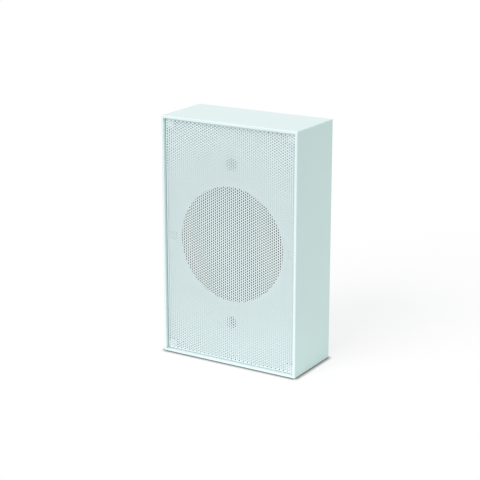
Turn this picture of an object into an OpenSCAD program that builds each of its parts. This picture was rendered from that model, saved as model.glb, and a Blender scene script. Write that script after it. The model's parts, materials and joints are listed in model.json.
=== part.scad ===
// Small wall loudspeaker: a mitred box with a perforated steel grille set into its rim,
// one full-range driver behind the baffle, a line transformer and a rear connection recess.
// The front faces -Y, the width runs along X and the height along Z.
// The origin is at the middle of the footprint, on the underside. Sizes are in millimetres.

/* [Cabinet] */
// Width of the cabinet
cabinet_w = 175; // [172:1:210]
// Height of the cabinet
cabinet_h = 280; // [276:1:330]
// Depth of the cabinet, from the rim to the back
cabinet_d = 80; // [79:1:110]
// Thickness of the four outer boards
board_t = 9; // [8:0.5:10]
// Radius on the outer edges of the cabinet
edge_r = 0.8; // [0.4:0.1:1.5]
// Width of the rim round the grille, seen from the front
rim_w = 3; // [2:0.5:4]
// Depth of the recess from the rim down to the baffle
recess_d = 8; // [7.5:0.5:10]
// Width of the lip round the back panel
rear_lip_w = 5; // [4:0.5:6]

/* [Baffle and back panel] */
// Thickness of the front baffle
baffle_t = 9; // [8:0.5:9.5]
// Diameter of each vent hole
vent_d = 15; // [8:1:16]
// Distance from the driver's frame to the edge of each vent
vent_gap = 8.5; // [2:0.5:12]
// Thickness of the back panel
back_t = 6; // [6:0.5:8]
// Side of the square battens that carry the back panel
batten_s = 12; // [11:0.5:13]
// Width and thickness of the damping mat
mat_w = 76; // [50:1:84]
mat_t = 7; // [4:0.5:12]

/* [Grille] */
// Depth of the grille's face behind the rim
grille_set_back = 3.5; // [2.5:0.5:4]
// Thickness of the grille's sheet
grille_t = 0.8; // [0.6:0.1:1.2]
// Gap between the grille and the rim, on each side
grille_gap = 0.5; // [0.3:0.1:2.5]
// Outer radius of the grille's folded edges
grille_bend_r = 1.6; // [1.3:0.1:2]
// Distance between neighbouring holes
hole_pitch = 8.5; // [7:0.5:16]
// Diameter of each hole
hole_d = 3.8; // [3:0.1:5]
// Plain margin round the holes
grille_margin = 1; // [0.5:0.5:10]
// Side of the square foam pads behind the grille
pad_s = 9; // [6:0.5:11]

/* [Driver] */
// Gap between the driver's frame and the side boards
frame_gap = 2.5; // [1.5:0.25:4]
// Width of the seat that the frame has on the baffle
seat_w = 9.5; // [8.5:0.5:10]
// Thickness of the gasket under the frame
gasket_t = 2; // [1:0.25:2.5]
// Sheet thickness of the pressed frame
basket_t = 1; // [0.8:0.1:1.2]
// Number of windows in the frame
windows = 8; // [6:1:8]
// Width of each window
window_w = 24; // [14:1:24]
// Gap between the magnet's back plate and the back panel
magnet_gap = 3; // [2:0.25:4]
// Thickness of the cone's paper
cone_t = 0.8; // [0.6:0.1:1]
// Radius of the surround's roll
roll_r = 3.3; // [2.6:0.1:3.4]
// Thickness of the surround
surround_t = 0.8; // [0.6:0.1:1]
// Diameter of the dust cap
cap_d = 34; // [30:1:40]
// Height of the dust cap's dome
cap_rise = 6; // [4:0.5:8]
// Inside diameter of the voice coil
coil_d = 25.4; // [24:0.2:26]
// Height of the copper winding
coil_h = 8; // [6:0.5:9]
// Outer diameter of the magnet ring
magnet_d = 70; // [62:1:74]
// Thickness of the magnet ring
magnet_t = 10; // [8:0.5:10.5]
// Thickness of the top plate
top_plate_t = 4; // [3:0.5:4.5]
// Thickness of the back plate
back_plate_t = 4; // [3:0.5:4.5]

/* [Line transformer] */
// Width of the laminated core
core_w = 48; // [42:1:50]
// Height of the laminated core
core_h = 40; // [36:1:42]
// Thickness of the stack of laminations
stack_t = 16; // [14:0.5:17]
// Gap between the transformer's strap and the side board
strap_gap = 3.5; // [1:0.5:5]
// Gap between the transformer's bobbin and the battens behind it
bobbin_room = 3.3; // [1:0.1:4]

/* [Connection recess and hangers] */
// Inside width, height and depth of the recess
dish_w = 50; // [44:1:52]
dish_h = 32; // [30:1:34]
dish_d = 22; // [20:1:24]
// Wall thickness of the recess moulding
dish_t = 1.5; // [1.2:0.1:2]
// Gap between the recess moulding and the batten beside it
dish_gap = 3.9; // [1:0.1:6]
// Height of the recess's middle above the underside
dish_z = 46; // [44:0.5:50]
// Number of poles of the terminal block
poles = 3; // [2:1:3]
// Distance between the poles
pole_pitch = 12; // [10:0.5:12]
// Distance of each hanger plate's middle from the cabinet's side
hanger_inset = 35.5; // [33:0.5:38]
// Distance of the hanger plates' middle below the top
hanger_drop = 42; // [38:0.5:48]
// Diameter of the keyhole's entry and width of its slot
keyhole_d = 9; // [8:0.5:10]
keyslot_w = 4.6; // [4.4:0.1:5.5]

/* [Hidden] */
$fn = 48;

// Clearances: between glued boards, round the back panel, round a screw, and of a running piece
glue_gap = 0.1;
panel_gap = 0.3;
screw_gap = 0.15;
seat_gap = 0.2;
coil_gap = 0.5;
gasket_gap = 0.5;
// How far a cutting tool runs past the face that it opens
over = 1;

// The cabinet's planes and rooms
front_y = -cabinet_d / 2;
rear_y = cabinet_d / 2;
baffle_y = front_y + recess_d;
baffle_back_y = baffle_y + baffle_t;
panel_y = rear_y - back_t;
inner_w = cabinet_w - 2 * board_t;
inner_h = cabinet_h - 2 * board_t;
recess_w = cabinet_w - 2 * rim_w;
recess_h = cabinet_h - 2 * rim_w;
rebate_w = cabinet_w - 2 * rear_lip_w;
rebate_h = cabinet_h - 2 * rear_lip_w;
mid_z = cabinet_h / 2;

// The damping mat fills the room between the magnet and the top batten
mat_gap = 3;
mat_end_gap = 12.9;

// The grille's outer size, with its folds just clear of the ledge behind them
grille_w = recess_w - 2 * grille_gap;
grille_h = recess_h - 2 * grille_gap;
grille_y = front_y + grille_set_back;
grille_d = recess_d - grille_set_back - seat_gap;
corner_notch = 2.2;

// Depths of the driver behind the baffle's back, along its axis. The cone takes up what the rest leaves
shelf_drop = 4;
neck_to_spider = 5;
spider_to_floor = 4;
driver_end = panel_y - magnet_gap - baffle_back_y;
back_plate_t0 = driver_end - back_plate_t;
magnet_t0 = back_plate_t0 - magnet_t;
plate_t0 = magnet_t0 - top_plate_t;
floor_t0 = plate_t0 - basket_t;
spider_t0 = floor_t0 - spider_to_floor;
neck_t0 = spider_t0 - neck_to_spider;
flange_t0 = gasket_t;
shelf_t0 = flange_t0 + shelf_drop;
cone_t0 = shelf_t0;
cone_depth = neck_t0 - cone_t0;

// Radii of the driver, from the frame inwards
flange_r = inner_w / 2 - frame_gap;
vent_offset = flange_r + vent_gap + vent_d / 2;
cutout_d = 2 * (flange_r - seat_w);
frame_screw_inset = 5;
frame_screw_room = 0.6;
driver_hole_r = flange_r - frame_screw_inset;
shelf_w = 8;
shelf_gap = 1.5;
land_w = 3;
shelf_r = cutout_d / 2 - shelf_gap;
shelf_in_r = shelf_r - shelf_w;
cone_d = 2 * (shelf_in_r - land_w - 2);
window_inset = 3.5;
ear_w = 22;
ear_l = 20;
ear_inset = 4;
spider_r = 44;
spider_in_r = 36;
floor_r = 34;
floor_hole_r = 15;
former_in_r = coil_d / 2;
former_t = 0.3;
former_r = former_in_r + former_t;
winding_t = 0.6;
winding_r = former_r + winding_t;
pole_r = former_in_r - coil_gap;
gap_r = winding_r + coil_gap;
magnet_r = magnet_d / 2;
magnet_hole_r = 16;
top_plate_r = magnet_r - 5;
back_plate_r = magnet_r - 2;
driver_holes = 4;
frame_hole_depth = baffle_t - 1.5;

// Screws: shank radius, head radius and head height of each kind
panel_screw = [1.75, 3.5, 2.2];
frame_screw = [1.6, 3.4, 2];
small_screw = [1.3, 2.6, 1.4];
cross_w = 0.8;
panel_screw_l = 15;
frame_screw_l = 9.5;
strap_screw_l = 6.5;
dish_screw_l = 5.5;
hanger_screw_l = 5.2;

// Rows and columns of the back panel's screws
panel_screw_x = cabinet_w / 2 - board_t - batten_s / 2;
panel_screw_end = 30;
panel_screw_rows = [panel_screw_end, mid_z, cabinet_h - panel_screw_end];
panel_screw_z = board_t + batten_s / 2;

// The transformer on the bottom board
core_z = board_t;
leg_w = core_w / 3;
window_in_w = core_w / 6;
yoke_w = core_w / 6;
bobbin_t = 1;
bobbin_gap = 0.3;
strap_t = 1;
strap_foot = 12;
strap_hole_gap = 0.5;
foot_hole_depth = 6;
strap_w = stack_t - 2;
strap_hole_x = core_w / 2 + strap_t + strap_foot / 2;
bobbin_h = core_h - 2 * yoke_w - 2 * bobbin_gap;
bobbin_w = core_w - 2 * yoke_w - 2 * bobbin_gap;
bobbin_d = stack_t + 2 * window_in_w - 2 * bobbin_gap;
tube_w = leg_w + 2 * (bobbin_gap + bobbin_t);
tube_d = stack_t + 2 * (bobbin_gap + bobbin_t);
bobbin_top = core_z + yoke_w + bobbin_gap + bobbin_h;
transformer_x = inner_w / 2 - strap_gap - strap_foot - strap_t - core_w / 2;
transformer_y = panel_y - batten_s - bobbin_room - bobbin_d / 2;

// The connection recess
dish_lip = 7;
dish_lip_t = 2;
block_h = 16;
block_t = 11;
block_w = poles * pole_pitch;
dish_floor_y = rear_y - dish_d;
dish_x = inner_w / 2 - glue_gap - batten_s - dish_gap - dish_t - dish_w / 2;
block_rise = 4;
dish_screw_inset = 3.8;
well_d = 5.4;
well_depth = 3;
cable_hole_d = 3.6;
cable_hole_depth = 6.5;
pole_head_d = 4.8;
pole_slot_depth = 0.7;
groove_w = 1.2;
groove_depth = 2;
lead_hole_d = 2.6;

// The hanger plates
hanger_w = 22;
hanger_h = 46;
hanger_t = 1.2;
hanger_z = cabinet_h - hanger_drop;
hanger_x = cabinet_w / 2 - hanger_inset;
keyslot_l = 9;
pocket_w = 14;
pocket_h = 24;
hanger_screw_z = 18;

// The leads: their wire diameter, the number of sides and the steps between two route points
lead_d = 1.6;
tinsel_d = 0.9;
lead_sides = 8;
lead_steps = 4;
tag_x = 5;
tag_y = spider_r + 4;

// Colours as in the photograph, and those of the usual hidden materials
paint = [0.87, 0.95, 0.94];
steel = [0.72, 0.74, 0.75];
dark_steel = [0.30, 0.31, 0.33];
board_brown = [0.66, 0.52, 0.36];

// Shapes shared by several pieces

// A centred rectangle with round corners
module round_rect(w, h, r) {
    square([w - 2 * r, h], center = true);
    square([w, h - 2 * r], center = true);
    for (sx = [-1, 1], sz = [-1, 1])
        translate([sx * (w / 2 - r), sz * (h / 2 - r)]) circle(r);
}

// A block standing on z = 0 whose edges are all rounded: three rounded prisms, crossed
module soft_block(w, d, h, r) {
    intersection() {
        linear_extrude(h) round_rect(w, d, r);
        translate([0, d / 2, h / 2]) rotate([90, 0, 0]) linear_extrude(d) round_rect(w, h, r);
        translate([-w / 2, 0, h / 2]) rotate([90, 0, 90]) linear_extrude(w) round_rect(d, h, r);
    }
}

// A block given by its lowest corner and its size
module block_at(x, y, z, w, d, h) {
    translate([x, y, z]) cube([w, d, h]);
}

// A cylinder along Y from y0 over a length
module y_bore(x, y0, z, d, l) {
    translate([x, y0, z]) rotate([-90, 0, 0]) cylinder(d = d, h = l);
}

// The cross recess in a screw's head, sunk from z = 0
module cross_recess(head_r) {
    for (a = [0, 90])
        rotate(a) translate([-head_r * 0.6, -cross_w / 2, -1]) cube([head_r * 1.2, cross_w, 1 + over]);
}

// A countersunk screw with its head's face at z = 0, pointing down
module sunk_screw(kind, l) {
    difference() {
        union() {
            translate([0, 0, -kind[2]]) cylinder(r1 = kind[0], r2 = kind[1], h = kind[2]);
            translate([0, 0, -l]) cylinder(r = kind[0], h = l - kind[2]);
        }
        cross_recess(kind[1]);
    }
}

// A pan-head screw that seats at z = 0, pointing down
module pan_screw(kind, l) {
    difference() {
        union() {
            cylinder(r = kind[1], h = kind[2] * 0.5);
            translate([0, 0, kind[2] * 0.5]) cylinder(r1 = kind[1], r2 = kind[1] * 0.7, h = kind[2] * 0.5);
            translate([0, 0, -l]) cylinder(r = kind[0], h = l);
        }
        translate([0, 0, kind[2]]) cross_recess(kind[1]);
    }
}

// The hole that a countersunk screw leaves in the piece under its head
module sunk_hole(kind, l) {
    translate([0, 0, -kind[2]]) cylinder(r1 = kind[0] + screw_gap, r2 = kind[1] + screw_gap, h = kind[2]);
    translate([0, 0, -l]) cylinder(r = kind[0] + screw_gap, h = l);
    cylinder(r = kind[1] + screw_gap, h = over);
}

// A round lead swept along a smooth curve through the route's points
function smooth(p0, p1, p2, p3, t) =
    0.5 * (2 * p1 + (p2 - p0) * t + (2 * p0 - 5 * p1 + 4 * p2 - p3) * t * t
    + (3 * p1 - p0 - 3 * p2 + p3) * t * t * t);
function curve(pts) = [
    for (i = [0 : len(pts) - 2], k = [0 : lead_steps - 1])
        smooth(pts[max(i - 1, 0)], pts[i], pts[i + 1], pts[min(i + 2, len(pts) - 1)], k / lead_steps),
    pts[len(pts) - 1]
];
function unit(v) = v / norm(v);
function heading(path, i) = unit(path[min(i + 1, len(path) - 1)] - path[max(i - 1, 0)]);
function ring(path, i, d) =
    let (
        t = heading(path, i),
        side = unit(cross(t, [1, 0.9, 1.1])),
        rise = cross(side, t)
    )
    [for (k = [0 : lead_sides - 1])
        path[i] + d / 2 * (cos(360 * k / lead_sides) * side + sin(360 * k / lead_sides) * rise)];
module lead(pts, d) {
    path = curve(pts);
    rings = len(path);
    points = [for (i = [0 : rings - 1]) each ring(path, i, d)];
    first = [for (k = [lead_sides - 1 : -1 : 0]) k];
    last = [for (k = [0 : lead_sides - 1]) (rings - 1) * lead_sides + k];
    walls = [for (i = [0 : rings - 2], k = [0 : lead_sides - 1]) [
        i * lead_sides + k,
        i * lead_sides + (k + 1) % lead_sides,
        (i + 1) * lead_sides + (k + 1) % lead_sides,
        (i + 1) * lead_sides + k
    ]];
    polyhedron(points, concat([first], [last], walls), convexity = 4);
}

// The cabinet: one hollow form, cut into four boards at 45 degrees

module cabinet_form() {
    difference() {
        soft_block(cabinet_w, cabinet_d, cabinet_h, edge_r);
        block_at(-inner_w / 2, front_y - over, board_t, inner_w, cabinet_d + 2 * over, inner_h);
        block_at(-recess_w / 2, front_y - over, rim_w, recess_w, recess_d + over, recess_h);
        block_at(-rebate_w / 2, panel_y, rear_lip_w, rebate_w, back_t + over, rebate_h);
    }
}

// The wedge that keeps one board, from corner to corner; the board's run is l
module mitre(l) {
    m = board_t + over;
    translate([0, cabinet_d / 2 + over, 0]) rotate([90, 0, 0]) linear_extrude(cabinet_d + 2 * over)
        polygon([[-l / 2 - over, -over], [l / 2 + over, -over], [l / 2 - m, m], [-l / 2 + m, m]]);
}

module bottom_board() {
    color(paint) difference() {
        intersection() {
            cabinet_form();
            mitre(cabinet_w);
        }
        for (s = [-1, 1])
            translate([s * strap_hole_x - transformer_x, transformer_y, board_t - foot_hole_depth])
                cylinder(r = small_screw[0] + screw_gap, h = foot_hole_depth + over);
    }
}

module top_board() {
    color(paint) intersection() {
        cabinet_form();
        translate([0, 0, cabinet_h]) rotate([0, 180, 0]) mitre(cabinet_w);
    }
}

module left_side_board() {
    color(paint) intersection() {
        cabinet_form();
        translate([-cabinet_w / 2, 0, mid_z]) rotate([0, 90, 0]) mitre(cabinet_h);
    }
}

module right_side_board() {
    color(paint) intersection() {
        cabinet_form();
        translate([cabinet_w / 2, 0, mid_z]) rotate([0, -90, 0]) mitre(cabinet_h);
    }
}

module front_baffle() {
    w = inner_w - 2 * glue_gap;
    h = inner_h - 2 * glue_gap;
    color(paint) difference() {
        block_at(-w / 2, baffle_y, mid_z - h / 2, w, baffle_t, h);
        y_bore(0, baffle_y - over, mid_z, cutout_d, baffle_t + 2 * over);
        for (s = [-1, 1])
            y_bore(0, baffle_y - over, mid_z + s * vent_offset, vent_d, baffle_t + 2 * over);
        at_driver() driver_hole_ring() translate([0, 0, -frame_hole_depth])
            cylinder(r = frame_screw[0] + screw_gap, h = baffle_t);
    }
}

module back_panel() {
    w = rebate_w - 2 * panel_gap;
    h = rebate_h - 2 * panel_gap;
    color(board_brown) difference() {
        block_at(-w / 2, panel_y, mid_z - h / 2, w, back_t, h);
        at_panel_screws() sunk_hole(panel_screw, back_t + over);
        dish_opening();
        for (s = [-1, 1]) {
            translate([s * hanger_x, 0, hanger_z]) hanger_seat();
            translate([s * hanger_x, panel_y, hanger_z]) hanger_pocket();
        }
    }
}

// Places of the back panel's screws, on its outer face and pointing inwards
module at_panel_screws() {
    for (s = [-1, 1], z = panel_screw_rows)
        translate([s * panel_screw_x, rear_y, z]) rotate([-90, 0, 0]) children();
    for (z = [panel_screw_z, cabinet_h - panel_screw_z])
        translate([0, rear_y, z]) rotate([-90, 0, 0]) children();
}

module back_panel_screws() {
    color(steel) at_panel_screws() sunk_screw(panel_screw, panel_screw_l);
}

// A batten with the pilot holes of the screws that reach it
module batten(x, z, w, h) {
    color(board_brown) difference() {
        block_at(x, panel_y - batten_s, z, w, batten_s, h);
        at_panel_screws() translate([0, 0, -panel_screw_l - over])
            cylinder(r = panel_screw[0] + screw_gap, h = panel_screw_l);
    }
}

module bottom_batten() {
    batten(-inner_w / 2 + glue_gap, board_t + glue_gap, inner_w - 2 * glue_gap, batten_s);
}

module top_batten() {
    z = cabinet_h - board_t - glue_gap - batten_s;
    batten(-inner_w / 2 + glue_gap, z, inner_w - 2 * glue_gap, batten_s);
}

side_batten_z = board_t + 2 * glue_gap + batten_s;
side_batten_l = cabinet_h - 2 * side_batten_z;

module left_batten() {
    batten(-inner_w / 2 + glue_gap, side_batten_z, batten_s, side_batten_l);
}

module right_batten() {
    batten(inner_w / 2 - glue_gap - batten_s, side_batten_z, batten_s, side_batten_l);
}

module damping_mat() {
    mat_h = inner_h / 2 - batten_s - mat_end_gap - magnet_r - mat_gap;
    color("whitesmoke") translate([0, panel_y, mid_z + magnet_r + mat_gap + mat_h / 2])
        rotate([90, 0, 0]) linear_extrude(mat_t) round_rect(mat_w, mat_h, 4);
}

// The grille: a folded steel tray with staggered round holes

// A tray's outer form: front edges rounded, the sides running straight back
module tray_form(w, h, d, r) {
    intersection() {
        linear_extrude(h) tray_section(w, d, r);
        translate([-w / 2, 0, h / 2]) rotate([90, 0, 90]) linear_extrude(w)
            rotate(-90) tray_section(h, d, r);
    }
}

// The section across a tray: a rectangle from y = 0 to y = d whose corners at y = 0 are round
module tray_section(w, d, r) {
    translate([-w / 2 + r, 0]) square([w - 2 * r, d]);
    translate([-w / 2, r]) square([w, d - r]);
    for (s = [-1, 1])
        translate([s * (w / 2 - r), r]) circle(r);
}

module grille() {
    inner_r = grille_bend_r - grille_t;
    color(paint) translate([0, grille_y, mid_z - grille_h / 2]) difference() {
        tray_form(grille_w, grille_h, grille_d, grille_bend_r);
        translate([0, grille_t, grille_t])
            tray_form(grille_w - 2 * grille_t, grille_h - 2 * grille_t, grille_d, inner_r);
        for (sx = [-1, 1], sz = [0, 1])
            translate([sx * grille_w / 2, grille_bend_r + grille_d / 2, sz * grille_h])
                cube([2 * corner_notch, grille_d, 2 * corner_notch], center = true);
        translate([0, grille_t + over, grille_h / 2]) rotate([90, 0, 0])
            linear_extrude(grille_t + 2 * over) perforation();
    }
}

// Staggered holes in upright columns, centred on the sheet, inside its plain margin
module perforation() {
    room_w = grille_w - 2 * (grille_bend_r + grille_margin) - hole_d;
    room_h = grille_h - 2 * (grille_bend_r + grille_margin) - hole_d;
    column_pitch = hole_pitch * sqrt(3) / 2;
    columns = floor(room_w / column_pitch / 2) * 2;
    rows = floor(room_h / hole_pitch);
    for (column = [0 : columns])
        for (i = [0 : rows - column % 2])
            translate([
                (column - columns / 2) * column_pitch,
                (i - (rows - column % 2) / 2) * hole_pitch
            ]) circle(d = hole_d, $fn = 20);
}

// Foam pads between the grille's back and the ledge, in the corners and at mid height
module grille_pads() {
    pad_t = grille_d - grille_t + seat_gap;
    x = grille_w / 2 - grille_bend_r - pad_s / 2;
    z = grille_h / 2 - grille_bend_r - pad_s / 2;
    color("white") for (sx = [-1, 1], k = [-1, 0, 1])
        translate([sx * x, grille_y + grille_t + pad_t / 2, mid_z + k * z])
            cube([pad_s, pad_t, pad_s], center = true);
}

// The driver: its pieces are drawn along +Z, which points to the back of the cabinet

module at_driver() {
    translate([0, baffle_back_y, mid_z]) rotate([-90, 0, 0]) children();
}

// A ring between two radii and two depths
module ring_solid(r_in, r_out, t0, t1) {
    translate([0, 0, t0]) difference() {
        cylinder(r = r_out, h = t1 - t0, $fn = 96);
        translate([0, 0, -over]) cylinder(r = r_in, h = t1 - t0 + 2 * over, $fn = 96);
    }
}

module driver_hole_ring() {
    for (i = [0 : driver_holes - 1])
        rotate(45 + i * 360 / driver_holes) translate([driver_hole_r, 0, 0]) children();
}

module mounting_gasket() {
    color("dimgray") at_driver() difference() {
        ring_solid(cutout_d / 2 + gasket_gap, flange_r, 0, gasket_t);
        driver_hole_ring() translate([0, 0, -over])
            cylinder(r = frame_screw[0] + frame_screw_room, h = gasket_t + 2 * over);
    }
}

// The frame's section: flange, surround shelf, slanted wall, spider shelf and floor
module basket_section() {
    s = basket_t;
    wall = 1.15 * s;
    polygon([
        [flange_r, flange_t0], [shelf_r, flange_t0], [shelf_r, shelf_t0], [shelf_in_r, shelf_t0],
        [spider_r, spider_t0], [spider_in_r, spider_t0], [floor_r, floor_t0], [floor_hole_r, floor_t0],
        [floor_hole_r, floor_t0 + s], [floor_r + wall, floor_t0 + s], [spider_in_r + wall, spider_t0 + s],
        [spider_r + wall, spider_t0 + s], [shelf_in_r + wall, shelf_t0 + s], [shelf_r + s, shelf_t0 + s],
        [shelf_r + s, flange_t0 + s], [flange_r, flange_t0 + s]
    ]);
}

module driver_basket() {
    color(dark_steel) at_driver() difference() {
        union() {
            rotate_extrude($fn = 96) basket_section();
            translate([-ear_w / 2, spider_in_r + ear_inset, spider_t0]) cube([ear_w, ear_l, basket_t]);
        }
        for (i = [0 : windows - 1])
            rotate(90 + i * 360 / windows)
                translate([spider_in_r, -window_w / 2, shelf_t0 + window_inset])
                    cube([flange_r, window_w, spider_t0 - shelf_t0 - 2 * window_inset]);
        driver_hole_ring() translate([0, 0, flange_t0 - over])
            cylinder(r = frame_screw[0] + frame_screw_room, h = basket_t + 2 * over);
    }
}

module driver_screws() {
    color(steel) at_driver() driver_hole_ring()
        translate([0, 0, flange_t0 + basket_t]) pan_screw(frame_screw, frame_screw_l);
}

// The surround: a glued land, a half roll towards the front and a land on the cone
module cone_surround() {
    roll_c = cone_d / 2 + roll_r;
    t = shelf_t0 - surround_t;
    color([0.12, 0.12, 0.13]) at_driver() rotate_extrude($fn = 96) {
        difference() {
            translate([roll_c, shelf_t0]) circle(roll_r);
            translate([roll_c, shelf_t0]) circle(roll_r - surround_t);
            translate([roll_c - 2 * roll_r, shelf_t0]) square([4 * roll_r, 2 * roll_r]);
        }
        translate([roll_c - roll_r - land_w, t]) square([land_w + surround_t / 2, surround_t]);
        translate([roll_c + roll_r - surround_t / 2, t])
            square([shelf_r - seat_gap - roll_c - roll_r + surround_t / 2, surround_t]);
    }
}

// The cone's curve: shallow at the rim and steeper towards the neck
cone_rim_r = cone_d / 2 - land_w;
neck_r = former_r + glue_gap;
cone_curve = 1.15;
function cone_at(r) = cone_t0 + cone_depth * pow((cone_rim_r - r) / (cone_rim_r - neck_r), cone_curve);

module cone() {
    steps = 16;
    radii = [for (i = [0 : steps]) cone_rim_r + (neck_r - cone_rim_r) * i / steps];
    front = [for (r = radii) [r, cone_at(r)]];
    back = [for (i = [steps : -1 : 0]) [radii[i], cone_at(radii[i]) + cone_t]];
    color([0.10, 0.10, 0.11]) at_driver() rotate_extrude($fn = 96)
        polygon(concat([[cone_d / 2, cone_t0]], front, back, [[cone_d / 2, cone_t0 + cone_t]]));
}

module dust_cap() {
    r = cap_d / 2;
    ball_r = (r * r + cap_rise * cap_rise) / (2 * cap_rise);
    base_t = cone_at(r) - glue_gap;
    color([0.13, 0.13, 0.14]) at_driver() rotate_extrude($fn = 96) intersection() {
        translate([0, base_t - cap_rise + ball_r]) difference() {
            circle(ball_r, $fn = 192);
            circle(ball_r - 0.6, $fn = 192);
        }
        translate([0, base_t - cap_rise - over]) square([r, cap_rise + over]);
    }
}

coil_mid = plate_t0 + top_plate_t / 2;

module voice_coil_former() {
    color([0.72, 0.55, 0.33]) at_driver()
        ring_solid(former_in_r, former_r, neck_t0 - 2, coil_mid + coil_h / 2);
}

module voice_coil_winding() {
    color([0.72, 0.42, 0.24]) at_driver()
        ring_solid(former_r + 0.02, winding_r, coil_mid - coil_h / 2, coil_mid + coil_h / 2);
}

// The spider: a collar on the former, sine corrugations and a land on the frame's shelf
spider_half_t = 0.25;
spider_waves = 5;
spider_wave_h = 1;
spider_collar = 2;

module spider() {
    steps = 40;
    r0 = former_r + glue_gap;
    r1 = spider_in_r - 1.5;
    end_r = spider_r - 0.5;
    level = spider_t0 - spider_half_t;
    top = level - spider_half_t - spider_collar;
    radii = [for (i = [0 : steps]) r0 + (r1 - r0) * i / steps];
    line = [for (i = [0 : steps]) [radii[i], level - spider_wave_h * sin(360 * spider_waves * i / steps)]];
    color([0.80, 0.62, 0.30]) at_driver() rotate_extrude($fn = 96)
        polygon(concat(
            [[r0, top], [r0 + 1, top]],
            [for (i = [2 : steps]) line[i] - [0, spider_half_t]],
            [[end_r, level - spider_half_t], [end_r, level + spider_half_t]],
            [for (i = [steps : -1 : 2]) line[i] + [0, spider_half_t]],
            [[r0, level + spider_half_t]]
        ));
}

module magnet_top_plate() {
    color(steel) at_driver() ring_solid(gap_r, top_plate_r, plate_t0, magnet_t0);
}

module ferrite_magnet() {
    color(dark_steel) at_driver() ring_solid(magnet_hole_r, magnet_r, magnet_t0, back_plate_t0);
}

module magnet_back_plate() {
    color(steel) at_driver() {
        translate([0, 0, back_plate_t0]) cylinder(r = back_plate_r, h = back_plate_t, $fn = 96);
        translate([0, 0, plate_t0]) cylinder(r = pole_r, h = driver_end - plate_t0, $fn = 96);
    }
}

// The tag board sits on the frame's ear, on the side that faces the floor
board_w = 20;
board_l = 11;
tag_board_t = 1.5;
tag_w = 4;
tag_l = 14;
tag_t = 0.8;
tag_hole_d = 1.8;
tag_face = spider_t0 - tag_board_t - tag_t;
tag_hole_y = tag_y + tag_l - 2;

module tag_board() {
    color([0.45, 0.28, 0.16]) at_driver()
        block_at(-board_w / 2, spider_r + 3, spider_t0 - tag_board_t, board_w, board_l, tag_board_t);
}

module solder_tags() {
    color("goldenrod") at_driver() for (s = [-1, 1])
        difference() {
            block_at(s * tag_x - tag_w / 2, tag_y, tag_face, tag_w, tag_l, tag_t);
            translate([s * tag_x, tag_hole_y, tag_face - over])
                cylinder(d = tag_hole_d, h = tag_t + 2 * over);
        }
}

// The tinsel leads, from the tags to the back of the cone
module tinsel_leads() {
    end_r = 30;
    end_t = cone_at(end_r) + cone_t + tinsel_d / 2 + 0.4;
    color("darkkhaki") at_driver() for (s = [-1, 1])
        lead([
            [s * tag_x, tag_y + 2, tag_face - 0.6],
            [s * tag_x, tag_y, tag_face - 1.2],
            [s * tag_x, tag_y - 4, tag_face - 3],
            [s * tag_x, spider_r - 4, tag_face - 4.5],
            [s * tag_x, end_r + 4, end_t + 3],
            [s * tag_x, end_r, end_t]
        ], tinsel_d);
}

// The line transformer: its stack stands on the bottom board, held by a strap

module at_transformer() {
    translate([-transformer_x, transformer_y, core_z]) children();
}

module transformer_core() {
    color(dark_steel) at_transformer() translate([0, stack_t / 2, 0]) rotate([90, 0, 0])
        linear_extrude(stack_t) difference() {
            translate([-core_w / 2, 0]) square([core_w, core_h]);
            for (s = [-1, 1])
                translate([s * (leg_w + window_in_w) / 2 - window_in_w / 2, yoke_w])
                    square([window_in_w, core_h - 2 * yoke_w]);
        }
}

module transformer_bobbin() {
    color([0.85, 0.83, 0.74]) at_transformer() translate([0, 0, yoke_w + bobbin_gap]) difference() {
        union() {
            for (z = [0, bobbin_h - bobbin_t])
                block_at(-bobbin_w / 2, -bobbin_d / 2, z, bobbin_w, bobbin_d, bobbin_t);
            block_at(-tube_w / 2, -tube_d / 2, 0, tube_w, tube_d, bobbin_h);
        }
        block_at(-leg_w / 2 - bobbin_gap, -stack_t / 2 - bobbin_gap, -over,
            leg_w + 2 * bobbin_gap, stack_t + 2 * bobbin_gap, bobbin_h + 2 * over);
    }
}

module transformer_winding() {
    h = bobbin_h - 2 * bobbin_t - 2 * glue_gap;
    color([0.86, 0.72, 0.30]) at_transformer()
        translate([0, 0, yoke_w + bobbin_gap + bobbin_t + glue_gap]) difference() {
            linear_extrude(h) round_rect(bobbin_w - 0.6, bobbin_d - 0.6, 3);
            block_at(-tube_w / 2 - glue_gap, -tube_d / 2 - glue_gap, -over,
                tube_w + 2 * glue_gap, tube_d + 2 * glue_gap, h + 2 * over);
        }
}

// The strap over the stack: two feet, two uprights and the bridge
module transformer_strap() {
    w = core_w / 2 + glue_gap;
    top = core_h + glue_gap;
    color(steel) at_transformer() difference() {
        translate([0, strap_w / 2, 0]) rotate([90, 0, 0]) linear_extrude(strap_w) polygon([
            [-w - strap_t - strap_foot, 0], [-w, 0], [-w, top],
            [w, top], [w, 0], [w + strap_t + strap_foot, 0],
            [w + strap_t + strap_foot, strap_t], [w + strap_t, strap_t], [w + strap_t, top + strap_t],
            [-w - strap_t, top + strap_t], [-w - strap_t, strap_t], [-w - strap_t - strap_foot, strap_t]
        ]);
        at_strap_screws() translate([0, 0, -strap_t - over])
            cylinder(r = small_screw[0] + strap_hole_gap, h = strap_t + 2 * over);
    }
}

module at_strap_screws() {
    for (s = [-1, 1])
        translate([s * strap_hole_x, 0, strap_t]) children();
}

module transformer_screws() {
    color(steel) at_transformer() at_strap_screws() pan_screw(small_screw, strap_screw_l);
}

// The internal leads, along routes that stay clear of the frame and the battens

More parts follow.
